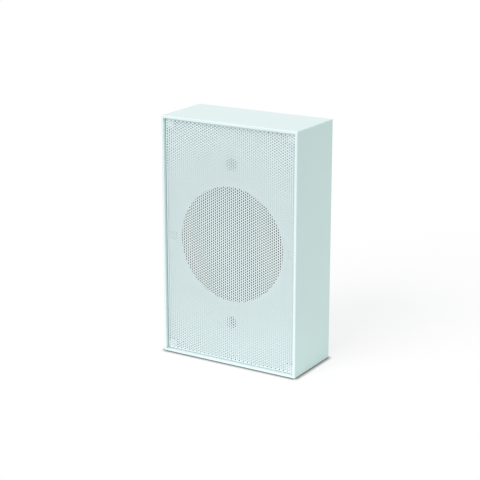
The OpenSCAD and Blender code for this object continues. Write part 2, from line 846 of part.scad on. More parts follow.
module driver_leads() {
    tag_z = mid_z - tag_hole_y - 0.5;
    tag_y0 = baffle_back_y + tag_face;
    end_x = 2 - transformer_x;
    end_y = transformer_y - bobbin_d / 2 + 2.5;
    fall = tag_z - core_z - core_h - 6;
    color("firebrick") for (s = [-1, 1])
        lead([
            [s * tag_x, tag_y0 - lead_d / 2 - 0.1, tag_z],
            [s * tag_x, tag_y0 - 1.5, tag_z - 0.16 * fall],
            [s * 2.5 - 10, tag_y0 - 3, tag_z - 0.57 * fall],
            [s * 2 - 22, transformer_y - 3, tag_z - 0.82 * fall],
            [s * 2 + end_x + 2, end_y + 0.5, tag_z - fall],
            [s * 2 + end_x, end_y, core_z + core_h - 2],
            [s * 2 + end_x, end_y, bobbin_top + 0.3]
        ], lead_d);
}

module input_leads() {
    inside_y = dish_floor_y - dish_t;
    start_x = dish_x - block_w / 2;
    end_x = 4 - transformer_x;
    end_y = transformer_y + bobbin_d / 2 - 2.5;
    color("seagreen") for (k = [0 : poles - 1])
        lead([
            [dish_x + pole_x(k), dish_floor_y - 0.3, dish_z + lead_z(k)],
            [dish_x + pole_x(k), inside_y - 0.8, dish_z + lead_z(k)],
            [dish_x + pole_x(k) - 1.2, inside_y - 2.6, dish_z + lead_z(k)],
            [start_x - 2 + 4 * k, inside_y - 5, dish_z + 2 - 3 * k],
            [start_x - 16 + 3 * k, inside_y - 4, dish_z + 5 - 3 * k],
            [end_x + 8 + 3 * k, end_y + 0.5, core_z + core_h + 7 - 3 * k],
            [end_x + 1 + 3 * k, end_y, core_z + core_h - 1],
            [end_x + 3 * k, end_y, bobbin_top + 0.3]
        ], lead_d);
}

// The connection recess at the back: a moulded dish with a screw terminal block

module at_dish() {
    translate([dish_x, rear_y, dish_z]) rotate([90, 0, 0]) children();
}

// Places of the four screws in the dish's lip
module at_dish_screws() {
    for (sx = [-1, 1], sz = [-1, 1])
        translate([
            sx * (dish_w / 2 + dish_lip - dish_screw_inset),
            sz * (dish_h / 2 + dish_lip - dish_screw_inset),
            0
        ]) children();
}

module dish_opening() {
    at_dish() {
        translate([0, 0, -over]) linear_extrude(dish_lip_t + over)
            round_rect(dish_w + 2 * dish_lip + 2 * seat_gap, dish_h + 2 * dish_lip + 2 * seat_gap, 4);
        linear_extrude(back_t + over)
            round_rect(dish_w + 2 * dish_t + 2 * seat_gap, dish_h + 2 * dish_t + 2 * seat_gap, 3 + dish_t);
        at_dish_screws() cylinder(r = small_screw[0] + screw_gap, h = back_t + over);
    }
}

module connection_dish() {
    color([0.15, 0.15, 0.16]) at_dish() difference() {
        union() {
            linear_extrude(dish_lip_t) round_rect(dish_w + 2 * dish_lip, dish_h + 2 * dish_lip, 4);
            linear_extrude(dish_d + dish_t) round_rect(dish_w + 2 * dish_t, dish_h + 2 * dish_t, 3 + dish_t);
        }
        translate([0, 0, -over]) linear_extrude(dish_d + over) round_rect(dish_w, dish_h, 3);
        at_dish_screws() rotate([180, 0, 0]) sunk_hole(small_screw, dish_lip_t + over);
        for (k = [0 : poles - 1])
            translate([pole_x(k), lead_z(k), dish_d - over]) cylinder(d = lead_hole_d, h = dish_t + 2 * over);
    }
}

module dish_screws() {
    color(steel) at_dish() at_dish_screws() rotate([180, 0, 0]) sunk_screw(small_screw, dish_screw_l);
}

// Across the recess, the place of each pole, and the height of its lead's hole in the floor
function pole_x(k) = (k + 0.5) * pole_pitch - block_w / 2;
function lead_z(k) = 2 - 2 * k;

// Places of the poles on the block's outer face
module at_poles() {
    at_dish() translate([0, block_rise, dish_d - block_t])
        for (k = [0 : poles - 1])
            translate([pole_x(k), 0, 0]) children();
}

module terminal_block() {
    color([0.92, 0.92, 0.88]) difference() {
        at_dish() translate([-block_w / 2, block_rise - block_h / 2, dish_d - block_t])
            cube([block_w, block_h, block_t]);
        at_poles() {
            translate([0, 0, -over]) cylinder(d = well_d, h = well_depth + over);
            cylinder(r = small_screw[0] + screw_gap, h = block_t - groove_depth);
            translate([0, 0, cable_hole_depth]) rotate([90, 0, 0])
                translate([0, 0, well_d / 2]) cylinder(d = cable_hole_d, h = block_h);
        }
        at_dish() translate([0, block_rise, dish_d - block_t]) for (k = [1 : poles - 1])
            translate([-block_w / 2 + k * pole_pitch - groove_w / 2, -block_h, -over])
                cube([groove_w, 2 * block_h, groove_depth + over]);
    }
}

module terminal_screws() {
    color(steel) at_poles() translate([0, 0, well_depth - small_screw[2]]) difference() {
        union() {
            cylinder(d = pole_head_d, h = small_screw[2]);
            cylinder(r = small_screw[0], h = dish_screw_l);
        }
        translate([-well_d / 2, -cross_w / 2, -over]) cube([well_d, cross_w, pole_slot_depth + over]);
    }
}

// The keyhole plates, let in flush with the back

// A keyhole in the XZ plane, wide entry at the middle and slot towards the top
module keyhole() {
    circle(d = keyhole_d);
    translate([-keyslot_w / 2, 0]) square([keyslot_w, keyslot_l]);
    translate([0, keyslot_l]) circle(d = keyslot_w);
}

module hanger_seat() {
    translate([0, rear_y + over, 0]) rotate([90, 0, 0]) linear_extrude(hanger_t + over)
        round_rect(hanger_w + 2 * seat_gap, hanger_h + 2 * seat_gap, 4);
    for (s = [-1, 1])
        y_bore(0, rear_y - 5.6, s * hanger_screw_z, 2 * (small_screw[0] + screw_gap), 6);
}

module hanger_pocket() {
    translate([0, back_t, 3]) rotate([90, 0, 0]) linear_extrude(back_t + over)
        round_rect(pocket_w, pocket_h, 3);
}

module hanger_plate(side) {
    color(steel) translate([side * hanger_x, rear_y, hanger_z]) rotate([90, 0, 0]) difference() {
        linear_extrude(hanger_t) round_rect(hanger_w, hanger_h, 4);
        translate([0, 0, -over]) linear_extrude(hanger_t + 2 * over) keyhole();
        for (s = [-1, 1])
            translate([0, s * hanger_screw_z, 0]) rotate([180, 0, 0]) sunk_hole(small_screw, hanger_t + over);
    }
}

module left_hanger_plate() {
    hanger_plate(-1);
}

module right_hanger_plate() {
    hanger_plate(1);
}

module hanger_screws() {
    color(steel) for (side = [-1, 1], s = [-1, 1])
        translate([side * hanger_x, rear_y, hanger_z + s * hanger_screw_z]) rotate([-90, 0, 0])
            sunk_screw(small_screw, hanger_screw_l);
}

left_side_board();
right_side_board();
top_board();
bottom_board();
front_baffle();
back_panel();
left_batten();
right_batten();
top_batten();
bottom_batten();
back_panel_screws();
damping_mat();
grille();
grille_pads();
driver_basket();
mounting_gasket();
driver_screws();
cone_surround();
cone();
dust_cap();
voice_coil_former();
voice_coil_winding();
spider();
magnet_top_plate();
ferrite_magnet();
magnet_back_plate();
tag_board();
solder_tags();
tinsel_leads();
transformer_core();
transformer_bobbin();
transformer_winding();
transformer_strap();
transformer_screws();
driver_leads();
input_leads();
connection_dish();
dish_screws();
terminal_block();
terminal_screws();
left_hanger_plate();
right_hanger_plate();
hanger_screws();
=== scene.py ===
"""Looks of a small wall loudspeaker: painted box, perforated grille, driver, transformer and rear fittings.

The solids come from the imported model. This script gives each of them a procedural finish, and builds the
pieces whose form is finer than the solids: the grille's sheet, the baffle, the cone, its cap, and what bends
between cone and frame.
"""

import json
import logging
import math
from dataclasses import dataclass, field
from enum import Enum

import bpy
import numpy as np
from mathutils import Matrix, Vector
from mathutils.geometry import delaunay_2d_cdt

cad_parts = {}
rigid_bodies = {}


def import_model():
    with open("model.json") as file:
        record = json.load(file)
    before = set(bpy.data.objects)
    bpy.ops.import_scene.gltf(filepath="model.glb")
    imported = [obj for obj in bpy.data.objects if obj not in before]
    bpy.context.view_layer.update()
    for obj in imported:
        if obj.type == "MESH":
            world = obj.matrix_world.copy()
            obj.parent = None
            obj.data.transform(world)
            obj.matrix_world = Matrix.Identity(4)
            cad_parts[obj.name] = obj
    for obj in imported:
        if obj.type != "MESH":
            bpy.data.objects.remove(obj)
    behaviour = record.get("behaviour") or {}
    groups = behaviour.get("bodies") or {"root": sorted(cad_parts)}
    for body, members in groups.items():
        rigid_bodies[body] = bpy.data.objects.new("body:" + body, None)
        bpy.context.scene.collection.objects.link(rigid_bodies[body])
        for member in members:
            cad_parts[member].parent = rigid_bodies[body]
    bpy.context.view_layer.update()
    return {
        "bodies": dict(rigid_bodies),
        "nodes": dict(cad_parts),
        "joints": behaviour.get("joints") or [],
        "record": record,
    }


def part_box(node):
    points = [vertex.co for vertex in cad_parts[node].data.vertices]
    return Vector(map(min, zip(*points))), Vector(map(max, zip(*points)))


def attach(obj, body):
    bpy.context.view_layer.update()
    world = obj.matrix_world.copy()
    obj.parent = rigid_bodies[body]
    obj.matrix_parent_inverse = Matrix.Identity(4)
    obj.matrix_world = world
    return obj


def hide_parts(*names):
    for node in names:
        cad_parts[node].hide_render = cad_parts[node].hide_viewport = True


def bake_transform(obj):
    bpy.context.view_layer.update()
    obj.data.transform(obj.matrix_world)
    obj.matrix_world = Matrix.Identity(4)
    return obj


LOG = logging.getLogger("wall_speaker")
MM = 0.001
CABINET = "cabinet"
CONE = "cone_assembly"


# Node trees


class Graph:
    """A node tree with short ways to add nodes and join sockets."""

    def __init__(self, tree: bpy.types.NodeTree) -> None:
        """Wraps a tree and empties it.

        Args:
            tree: The node tree to fill.
        """
        self.tree = tree
        tree.nodes.clear()

    def add(self, kind: str, inputs: dict | None = None, **settings: object) -> bpy.types.Node:
        """Adds a node.

        Args:
            kind: The node's type name without its ShaderNode prefix, or a full type name.
            inputs: Values or sockets for its inputs, by name or number.
            settings: Properties of the node.

        Returns:
            The new node.
        """
        full = kind if kind.startswith("NodeGroup") else f"ShaderNode{kind}"
        node = self.tree.nodes.new(full)
        for name, value in settings.items():
            setattr(node, name, value)
        for key, value in (inputs or {}).items():
            if isinstance(value, bpy.types.NodeSocket):
                self.tree.links.new(value, node.inputs[key])
            else:
                node.inputs[key].default_value = value
        return node

    def math(self, operation: str, a: object, b: object = 0.0, clamp: bool = False) -> bpy.types.NodeSocket:
        """Adds a maths node.

        Args:
            operation: The operation's name.
            a: First value or socket.
            b: Second value or socket.
            clamp: Whether the result is kept between 0 and 1.

        Returns:
            The result's socket.
        """
        node = self.add("Math", {0: a, 1: b}, operation=operation, use_clamp=clamp)
        return node.outputs[0]

    def noise(self, vector: bpy.types.NodeSocket, scale: object,
              detail: float = 2.0) -> bpy.types.NodeSocket:
        """Adds a noise texture.

        Args:
            vector: Where the noise is read.
            scale: Its scale, per metre.
            detail: Its octaves.

        Returns:
            The noise's value, about 0.5 on average.
        """
        node = self.add("TexNoise", {"Vector": vector, "Scale": scale, "Detail": detail})
        return node.outputs[0]

    def scaled(self, vector: bpy.types.NodeSocket,
               scale: tuple[float, float, float]) -> bpy.types.NodeSocket:
        """Scales a vector along its axes.

        Args:
            vector: The vector.
            scale: The factor along each axis.

        Returns:
            The scaled vector.
        """
        node = self.add("VectorMath", {0: vector, 1: scale}, operation="MULTIPLY")
        return node.outputs[0]


class Effect:
    """A shared node group that puts out colours, masks, values or normals."""

    title = ""
    takes: tuple[tuple[str, str, object], ...] = ()
    gives: tuple[tuple[str, str], ...] = (("Mask", "Float"), ("Normal", "Vector"))

    @classmethod
    def group(cls) -> bpy.types.NodeTree:
        """Finds or makes the group.

        Returns:
            The group's node tree.
        """
        found = bpy.data.node_groups.get(cls.title)
        if found is not None:
            return found
        tree = bpy.data.node_groups.new(cls.title, "ShaderNodeTree")
        for name, kind, value in cls.takes:
            socket = tree.interface.new_socket(name, in_out="INPUT", socket_type=f"NodeSocket{kind}")
            socket.default_value = value
        for name, kind in cls.gives:
            tree.interface.new_socket(name, in_out="OUTPUT", socket_type=f"NodeSocket{kind}")
        graph = Graph(tree)
        source = tree.nodes.new("NodeGroupInput").outputs
        made = cls.fill(graph, source, graph.add("TexCoord").outputs["Object"])
        sink = tree.nodes.new("NodeGroupOutput")
        for name, socket in made.items():
            tree.links.new(socket, sink.inputs[name])
        return tree

    @classmethod
    def fill(cls, graph: Graph, source: bpy.types.bpy_prop_collection,
             place: bpy.types.NodeSocket) -> dict[str, bpy.types.NodeSocket]:
        """Builds the effect.

        Args:
            graph: The group's graph.
            source: The group's input sockets, by name.
            place: Object coordinates, in metres.

        Returns:
            The sockets to put out, by name.
        """
        raise NotImplementedError

    @staticmethod
    def bump(graph: Graph, height: bpy.types.NodeSocket,
             depth: bpy.types.NodeSocket) -> bpy.types.NodeSocket:
        """Turns a height into a normal.

        Args:
            graph: The group's graph.
            height: Height, 0 to 1.
            depth: How high 1 stands, in metres.

        Returns:
            The normal.
        """
        node = graph.add("Bump", {"Height": height, "Distance": depth, "Strength": 1.0})
        return node.outputs[0]


class FineGrain(Effect):
    """The slight orange peel of sprayed paint and the grain of moulded plastic."""

    title = "Fine grain"
    takes = (("Scale", "Float", 900.0), ("Depth", "Float", 0.00002))

    @classmethod
    def fill(cls, graph: Graph, source: bpy.types.bpy_prop_collection,
             place: bpy.types.NodeSocket) -> dict[str, bpy.types.NodeSocket]:
        """Builds one noise.

        Args:
            graph: The group's graph.
            source: The group's input sockets, by name.
            place: Object coordinates, in metres.

        Returns:
            The mask and the normal, by name.
        """
        height = graph.noise(place, source["Scale"], 3.0)
        return {"Mask": height, "Normal": cls.bump(graph, height, source["Depth"])}


class BrushedGrain(Effect):
    """Fine lines of rolled or drawn metal."""

    title = "Brushed grain"
    takes = FineGrain.takes
    stretch = (0.04, 1.0, 1.0)

    @classmethod
    def fill(cls, graph: Graph, source: bpy.types.bpy_prop_collection,
             place: bpy.types.NodeSocket) -> dict[str, bpy.types.NodeSocket]:
        """Builds a noise drawn out along X.

        Args:
            graph: The group's graph.
            source: The group's input sockets, by name.
            place: Object coordinates, in metres.

        Returns:
            The mask and the normal, by name.
        """
        height = graph.noise(graph.scaled(place, cls.stretch), source["Scale"], 3.0)
        return {"Mask": height, "Normal": cls.bump(graph, height, source["Depth"])}


class Weave(Effect):
    """Crossed threads of cloth."""

    title = "Weave"
    takes = FineGrain.takes

    @classmethod
    def fill(cls, graph: Graph, source: bpy.types.bpy_prop_collection,
             place: bpy.types.NodeSocket) -> dict[str, bpy.types.NodeSocket]:
        """Builds height = (|sin ku| + |sin kv|) / 2 across the piece's face.

        Args:
            graph: The group's graph.
            source: The group's input sockets, by name.
            place: Object coordinates, in metres.

        Returns:
            The mask and the normal, by name.
        """
        axes = graph.add("SeparateXYZ", {0: place})
        waves = []
        for axis in ("X", "Z"):
            turned = graph.math("MULTIPLY", axes.outputs[axis], source["Scale"])
            waves.append(graph.math("ABSOLUTE", graph.math("SINE", turned)))
        height = graph.math("MULTIPLY", graph.math("ADD", *waves), 0.5)
        return {"Mask": height, "Normal": cls.bump(graph, height, source["Depth"])}


class Turns(Effect):
    """Stacked sheets or turns of wire: even grooves along Y."""

    title = "Turns"
    takes = FineGrain.takes
    wander_scale = 60.0
    wander_reach = 0.6

    @classmethod
    def fill(cls, graph: Graph, source: bpy.types.bpy_prop_collection,
             place: bpy.types.NodeSocket) -> dict[str, bpy.types.NodeSocket]:
        """Builds height = |sin ky|, a little uneven.

        Args:
            graph: The group's graph.
            source: The group's input sockets, by name.
            place: Object coordinates, in metres.

        Returns:
            The mask and the normal, by name.
        """
        axes = graph.add("SeparateXYZ", {0: place})
        wander = graph.math("MULTIPLY", graph.noise(place, cls.wander_scale), cls.wander_reach)
        turned = graph.math("ADD", graph.math("MULTIPLY", axes.outputs["Y"], source["Scale"]), wander)
        height = graph.math("ABSOLUTE", graph.math("SINE", turned))
        return {"Mask": height, "Normal": cls.bump(graph, height, source["Depth"])}


class Fibres(Effect):
    """Pressed wood or paper fibre: short strands that lie in the face."""

    title = "Fibres"
    takes = FineGrain.takes
    along_x = (0.25, 1.0, 1.0)
    along_z = (1.0, 1.0, 0.25)

    @classmethod
    def fill(cls, graph: Graph, source: bpy.types.bpy_prop_collection,
             place: bpy.types.NodeSocket) -> dict[str, bpy.types.NodeSocket]:
        """Builds two noises drawn out across each other.

        Args:
            graph: The group's graph.
            source: The group's input sockets, by name.
            place: Object coordinates, in metres.

        Returns:
            The mask and the normal, by name.
        """
        first = graph.noise(graph.scaled(place, cls.along_x), source["Scale"], 4.0)
        second = graph.noise(graph.scaled(place, cls.along_z), source["Scale"], 4.0)
        height = graph.math("MAXIMUM", first, second)
        return {"Mask": height, "Normal": cls.bump(graph, height, source["Depth"])}


class Tone(Effect):
    """A colour that varies a little over the piece and with a mask."""

    title = "Tone"
    takes = (
        ("Colour", "Color", (0.8, 0.8, 0.8, 1.0)),
        ("Mask", "Float", 0.5),
        ("Contrast", "Float", 0.1),
        ("Drift", "Float", 0.02),
        ("Mottle", "Float", 0.0),
        ("Patches", "Float", 160.0),
    )
    gives = (("Colour", "Color"),)
    drift_scale = 14.0

    @classmethod
    def fill(cls, graph: Graph, source: bpy.types.bpy_prop_collection,
             place: bpy.types.NodeSocket) -> dict[str, bpy.types.NodeSocket]:
        """Builds colour * (1 + contrast * (mask - 0.5) + drift * (slow - 0.5) + mottle * (patches - 0.5)).

        Args:
            graph: The group's graph.
            source: The group's input sockets, by name.
            place: Object coordinates, in metres.

        Returns:
            The varied colour, by name.
        """
        fine = graph.math("MULTIPLY", graph.math("SUBTRACT", source["Mask"], 0.5), source["Contrast"])
        slow = graph.math("SUBTRACT", graph.noise(place, cls.drift_scale), 0.5)
        drift = graph.math("MULTIPLY", slow, source["Drift"])
        patches = graph.math("SUBTRACT", graph.noise(place, source["Patches"], 4.0), 0.5)
        mottle = graph.math("MULTIPLY", patches, source["Mottle"])
        factor = graph.math("ADD", graph.math("ADD", graph.math("ADD", fine, drift), mottle), 1.0)
        level = graph.add("CombineXYZ", {0: factor, 1: factor, 2: factor})
        tinted = graph.add("VectorMath", {0: source["Colour"], 1: level.outputs[0]}, operation="MULTIPLY")
        return {"Colour": tinted.outputs[0]}


# Finishes


class Texture(Enum):
    """The fine structure that a finish can have."""

    GRAIN = FineGrain
    BRUSHED = BrushedGrain
    WEAVE = Weave
    TURNS = Turns
    FIBRES = Fibres


@dataclass(frozen=True)
class Finish:
    """A procedural finish.

    Args:
        slot: The record's material slot.
        colour: Base colour, linear.
        roughness: Mean roughness.
        metallic: 0 or 1.
        texture: Its fine structure.
        scale: The structure's scale, per metre.
        depth: The structure's height, in metres.
        contrast: How far the structure's mask changes the colour.
        drift: How far the colour drifts over the piece.
        mottle: How far its patches differ in colour.
        patches: The patches' scale, per metre.
        gloss_spread: How far the mask changes the roughness.
        specular: Specular level.
    """

    slot: str
    colour: tuple[float, float, float]
    roughness: float
    metallic: float = 0.0
    texture: Texture = Texture.GRAIN
    scale: float = 900.0
    depth: float = 0.00002
    contrast: float = 0.06
    drift: float = 0.04
    mottle: float = 0.0
    patches: float = 160.0
    gloss_spread: float = 0.1
    specular: float = 0.5

    def material(self) -> bpy.types.Material:
        """Finds or makes the material.

        Returns:
            The material.
        """
        title = f"{self.slot} finish"
        found = bpy.data.materials.get(title)
        if found is not None:
            return found
        made = bpy.data.materials.new(title)
        made.use_nodes = True
        graph = Graph(made.node_tree)
        structure = graph.add("Group", node_tree=self.texture.value.group())
        structure.inputs["Scale"].default_value = self.scale
        structure.inputs["Depth"].default_value = self.depth
        mask = structure.outputs["Mask"]
        spread = graph.math("MULTIPLY", graph.math("SUBTRACT", mask, 0.5), self.gloss_spread)
        shader = graph.add("BsdfPrincipled", {
            "Base Color": self.coat(graph, mask),
            "Roughness": graph.math("ADD", spread, self.roughness, clamp=True),
            "Metallic": self.metallic,
            "Normal": structure.outputs["Normal"],
            "Specular IOR Level": self.specular,
        })
        graph.add("OutputMaterial", {"Surface": shader.outputs[0]})
        return made

    def coat(self, graph: Graph, mask: bpy.types.NodeSocket) -> bpy.types.NodeSocket:
        """Builds the colour.

        Args:
            graph: The material's graph.
            mask: The fine structure's mask.

        Returns:
            The colour's socket.
        """
        tone = graph.add("Group", node_tree=Tone.group())
        tone.inputs["Colour"].default_value = (*self.colour, 1.0)
        tone.inputs["Contrast"].default_value = self.contrast
        tone.inputs["Drift"].default_value = self.drift
        tone.inputs["Mottle"].default_value = self.mottle
        tone.inputs["Patches"].default_value = self.patches
        graph.tree.links.new(mask, tone.inputs["Mask"])
        return tone.outputs["Colour"]


@dataclass(frozen=True)
class OutsidePaint(Finish):
    """Paint on the outside of a box whose inside is left bare.

    Args:
        inside: Finish of the inside.
        slack: How far past the baffle's outline the bare board is taken to reach.
    """

    inside: Finish | None = None
    slack: float = 0.15 * MM

    def coat(self, graph: Graph, mask: bpy.types.NodeSocket) -> bpy.types.NodeSocket:
        """Builds the paint's colour outside and the bare board's inside. See Finish.coat.

        Args:
            graph: The material's graph.
            mask: The fine structure's mask.

        Returns:
            The colour's socket.
        """
        outer = super().coat(graph, mask)
        inner = self.inside.coat(graph, mask)
        low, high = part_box("front_baffle")
        place = graph.add("SeparateXYZ", {0: graph.add("TexCoord").outputs["Object"]}).outputs
        bare = graph.math("GREATER_THAN", place["Y"], low.y + self.slack)
        for axis in ("X", "Z"):
            first = getattr(low, axis.lower()) - self.slack
            last = getattr(high, axis.lower()) + self.slack
            for operation, edge in (("GREATER_THAN", first), ("LESS_THAN", last)):
                bare = graph.math("MULTIPLY", bare, graph.math(operation, place[axis], edge))
        mixed = graph.add("Mix", {0: bare, "A": outer, "B": inner}, data_type="RGBA")
        return mixed.outputs["Result"]


PAINT = (0.795, 0.903, 0.890)
RAW_BOARD = Finish("raw_board", (0.44, 0.31, 0.185), 0.75, texture=Texture.FIBRES, scale=650.0,
                   depth=0.00006, contrast=0.45, drift=0.3, mottle=0.25, patches=90.0, specular=0.3)
FINISHES = {
    finish.slot: finish
    for finish in (
        RAW_BOARD,
        OutsidePaint("cabinet_paint", PAINT, 0.42, scale=700.0, depth=0.00002, contrast=0.02, drift=0.04,
                     mottle=0.02, patches=50.0, inside=RAW_BOARD),
        Finish("grille_paint", PAINT, 0.45, scale=900.0, depth=0.00001, contrast=0.02, drift=0.03),
        Finish("zinc_screws", (0.50, 0.51, 0.50), 0.36, 1.0, Texture.BRUSHED, 900.0, 0.00001, 0.3,
               mottle=0.15, patches=500.0),
        Finish("fleece", (0.80, 0.81, 0.78), 0.95, texture=Texture.FIBRES, scale=420.0,
               depth=0.0009, contrast=0.5, drift=0.15, specular=0.1),
        # Painted shade: the white foam is given a grey colour, so that the pads behind the grille, which the
        # light through its holes reaches directly, look no lighter than the board around them.
        Finish("white_foam", (0.60, 0.68, 0.67), 0.95, scale=1800.0, depth=0.0003, contrast=0.5,
               specular=0.1),
        Finish("basket_lacquer", (0.030, 0.031, 0.033), 0.38, scale=1200.0, contrast=0.2),
        Finish("gasket_felt", (0.045, 0.045, 0.047), 0.95, texture=Texture.FIBRES, scale=1500.0,
               depth=0.0002, contrast=0.8, specular=0.1),
        Finish("surround_cloth", (0.022, 0.022, 0.024), 0.6, texture=Texture.WEAVE, scale=6000.0,
               depth=0.00008, contrast=0.5),
        Finish("cone_paper", (0.028, 0.042, 0.044), 0.85, texture=Texture.FIBRES, scale=700.0,
               depth=0.00012, contrast=0.8, drift=0.2, specular=0.25),
        Finish("former_paper", (0.42, 0.26, 0.12), 0.6, texture=Texture.FIBRES, scale=1200.0, contrast=0.3),
        Finish("copper_wire", (0.72, 0.33, 0.16), 0.28, 1.0, Texture.TURNS, 9000.0, 0.00008, 0.25),
        Finish("spider_cloth", (0.55, 0.34, 0.11), 0.8, texture=Texture.WEAVE, scale=5200.0,
               depth=0.0001, contrast=0.6, drift=0.15, specular=0.25),
        Finish("plated_steel", (0.50, 0.51, 0.51), 0.38, 1.0, Texture.BRUSHED, 700.0, 0.00001, 0.3, 0.15,
               mottle=0.25, patches=260.0),
        Finish("ferrite", (0.055, 0.055, 0.058), 0.7, scale=2400.0, depth=0.00006, contrast=0.5),
        Finish("hard_paper", (0.22, 0.11, 0.05), 0.45, texture=Texture.FIBRES, scale=1600.0, contrast=0.4),
        Finish("tag_brass", (0.78, 0.60, 0.28), 0.3, 1.0, Texture.BRUSHED, 1600.0, 0.00001, 0.15),
        Finish("core_iron", (0.10, 0.10, 0.105), 0.5, 1.0, Texture.TURNS, 6283.0, 0.0001, 0.5, 0.2),
        Finish("bobbin_plastic", (0.66, 0.63, 0.52), 0.45, scale=1200.0),
        Finish("winding_tape", (0.70, 0.46, 0.08), 0.32, texture=Texture.TURNS, scale=5200.0,
               depth=0.00004, contrast=0.25, drift=0.1),
        Finish("red_lead", (0.42, 0.025, 0.022), 0.4, scale=1500.0),
        Finish("green_lead", (0.03, 0.24, 0.11), 0.4, scale=1500.0),
        Finish("dish_plastic", (0.022, 0.022, 0.024), 0.5, scale=1500.0, depth=0.00004, contrast=0.2),
        Finish("block_plastic", (0.74, 0.73, 0.67), 0.4, scale=1500.0),
    )
}


# Meshes


@dataclass
class Surface:
    """Points and faces that grow into one mesh.

    Args:
        points: Arrays of points, each of three columns.
        faces: Arrays of faces, each of three or four columns, with whether they are smooth.
    """

    points: list[np.ndarray] = field(default_factory=list)
    faces: list[tuple[np.ndarray, bool]] = field(default_factory=list)

    def place(self, points: np.ndarray) -> int:
        """Adds points.

        Args:
            points: The points.

        Returns:
            The number of the first of them.
        """
        first = sum(len(p) for p in self.points)
        self.points.append(np.asarray(points, float))
        return first

    def span(self, faces: np.ndarray, smooth: bool = False) -> None:
        """Adds faces.

        Args:
            faces: Point numbers, in outward order.
            smooth: Whether they are shaded smooth.
        """
        self.faces.append((np.asarray(faces, np.int32), smooth))

    def build(self, name: str, slot: str) -> bpy.types.Object:
        """Makes the object.

        Args:
            name: Its name.
            slot: The material slot that it is dressed from.

        Returns:
            The object, linked to the scene.
        """
        points = np.concatenate(self.points)
        loops = np.concatenate([f.ravel() for f, _ in self.faces])
        sizes = np.concatenate([np.full(len(f), f.shape[1]) for f, _ in self.faces])
        smooth = np.concatenate([np.full(len(f), s) for f, s in self.faces])
        mesh = bpy.data.meshes.new(name)
        mesh.vertices.add(len(points))
        mesh.vertices.foreach_set("co", points.astype(np.float32).ravel())
        mesh.loops.add(len(loops))
        mesh.loops.foreach_set("vertex_index", loops.astype(np.int32))
        mesh.polygons.add(len(sizes))
        mesh.polygons.foreach_set("loop_start", (np.cumsum(sizes) - sizes).astype(np.int32))
        mesh.polygons.foreach_set("use_smooth", smooth)
        mesh.update(calc_edges=True)
        mesh.validate()
        made = bpy.data.objects.new(name, mesh)
        bpy.context.scene.collection.objects.link(made)
        made.data.materials.append(FINISHES[slot].material())
        LOG.info("%s: %d faces in %s", name, len(sizes), slot)
        return made


def circle(x: float, z: float, radius: float, sides: int, turn: float = 0.0) -> np.ndarray:
    """Corners of a polygon: (x + r cos a, z + r sin a) with a = turn + 2 pi k / sides.

    Args:
        x: Its middle across.
        z: Its middle upwards.
        radius: Its radius.
        sides: Its corners.
        turn: The angle of its first corner.

    Returns:
        The corners, anticlockwise seen from the front.
    """
    angles = turn + 2 * math.pi * np.arange(sides) / sides
    return np.stack([x + radius * np.cos(angles), z + radius * np.sin(angles)], axis=1)


def pierced(border: np.ndarray, holes: list[np.ndarray]) -> np.ndarray:
    """Triangles of a flat sheet with holes, by constrained Delaunay triangulation.

    Args:
        border: The sheet's outline, anticlockwise.
        holes: The holes' outlines.

    Returns:
        Triangles, anticlockwise, numbered through the border and then the holes in turn.
    """
    loops = [border, *holes]
    owner = np.concatenate([np.full(len(loop), i) for i, loop in enumerate(loops)])
    flat = np.concatenate(loops)
    after = np.concatenate([np.roll(np.arange(len(loop)), -1) + start
                            for loop, start in zip(loops, np.cumsum([0] + [len(h) for h in loops[:-1]]))])
    edges = np.stack([np.arange(len(flat)), after], axis=1)
    found = delaunay_2d_cdt([Vector(p) for p in flat], edges.tolist(), [], 1, 1e-7)
    if len(found[0]) != len(flat):
        raise ValueError("the sheet's outlines touch each other")
    triangles = np.array(found[2], np.int32)
    home = owner[triangles]
    in_hole = (home[:, 0] == home[:, 1]) & (home[:, 1] == home[:, 2]) & (home[:, 0] > 0)
    triangles = triangles[~in_hole]
    a, b, c = (flat[triangles[:, k]] for k in range(3))
    area = (b[:, 0] - a[:, 0]) * (c[:, 1] - a[:, 1]) - (b[:, 1] - a[:, 1]) * (c[:, 0] - a[:, 0])
    triangles[area < 0] = triangles[area < 0][:, ::-1]
    return triangles


def upright(flat: np.ndarray, y: float) -> np.ndarray:
    """Stands flat points up in the plane at y.

    Args:
        flat: Points of two columns, across and upwards.
        y: The plane's depth.

    Returns:
        Points of three columns.
    """
    return np.stack([flat[:, 0], np.full(len(flat), y), flat[:, 1]], axis=1)


def hole_walls(count: int, sides: int, front: int, back: int) -> np.ndarray:
    """Quads of the walls of even holes, facing their axes.

    Args:
        count: The number of holes.
        sides: The corners of each.
        front: The number of the first front corner.
        back: The number of the first back corner.

    Returns:
        The quads.
    """
    k = np.arange(count * sides)
    following = (k // sides) * sides + (k + 1) % sides
    return np.stack([front + k, front + following, back + following, back + k], axis=1)


def turned(profile: np.ndarray, y: float, z: float, sides: int, smooth: bool = True) -> Surface:
    """Turns a closed profile round the driver's axis: (r cos a, y + t, z + r sin a).

    Args:
        profile: Points (r, t), going round the section anticlockwise with r across and t upwards.
        y: Depth of t = 0.
        z: Height of the axis.
        sides: Steps round the axis.
        smooth: Whether the faces are shaded smooth.

    Returns:
        The surface.
    """
    angles = 2 * math.pi * np.arange(sides) / sides
    r, t = profile[:, 0], profile[:, 1]
    points = np.stack([
        np.outer(np.cos(angles), r), np.tile(y + t, (sides, 1)), z + np.outer(np.sin(angles), r)
    ], axis=2).reshape(-1, 3)
    made = Surface()
    made.place(points)
    i, j = np.meshgrid(np.arange(sides), np.arange(len(r)), indexing="ij")
    i, j = i.ravel(), j.ravel()
    i1, j1 = (i + 1) % sides, (j + 1) % len(r)
    n = len(r)
    made.span(np.stack([i * n + j, i * n + j1, i1 * n + j1, i1 * n + j], axis=1), smooth)
    return made


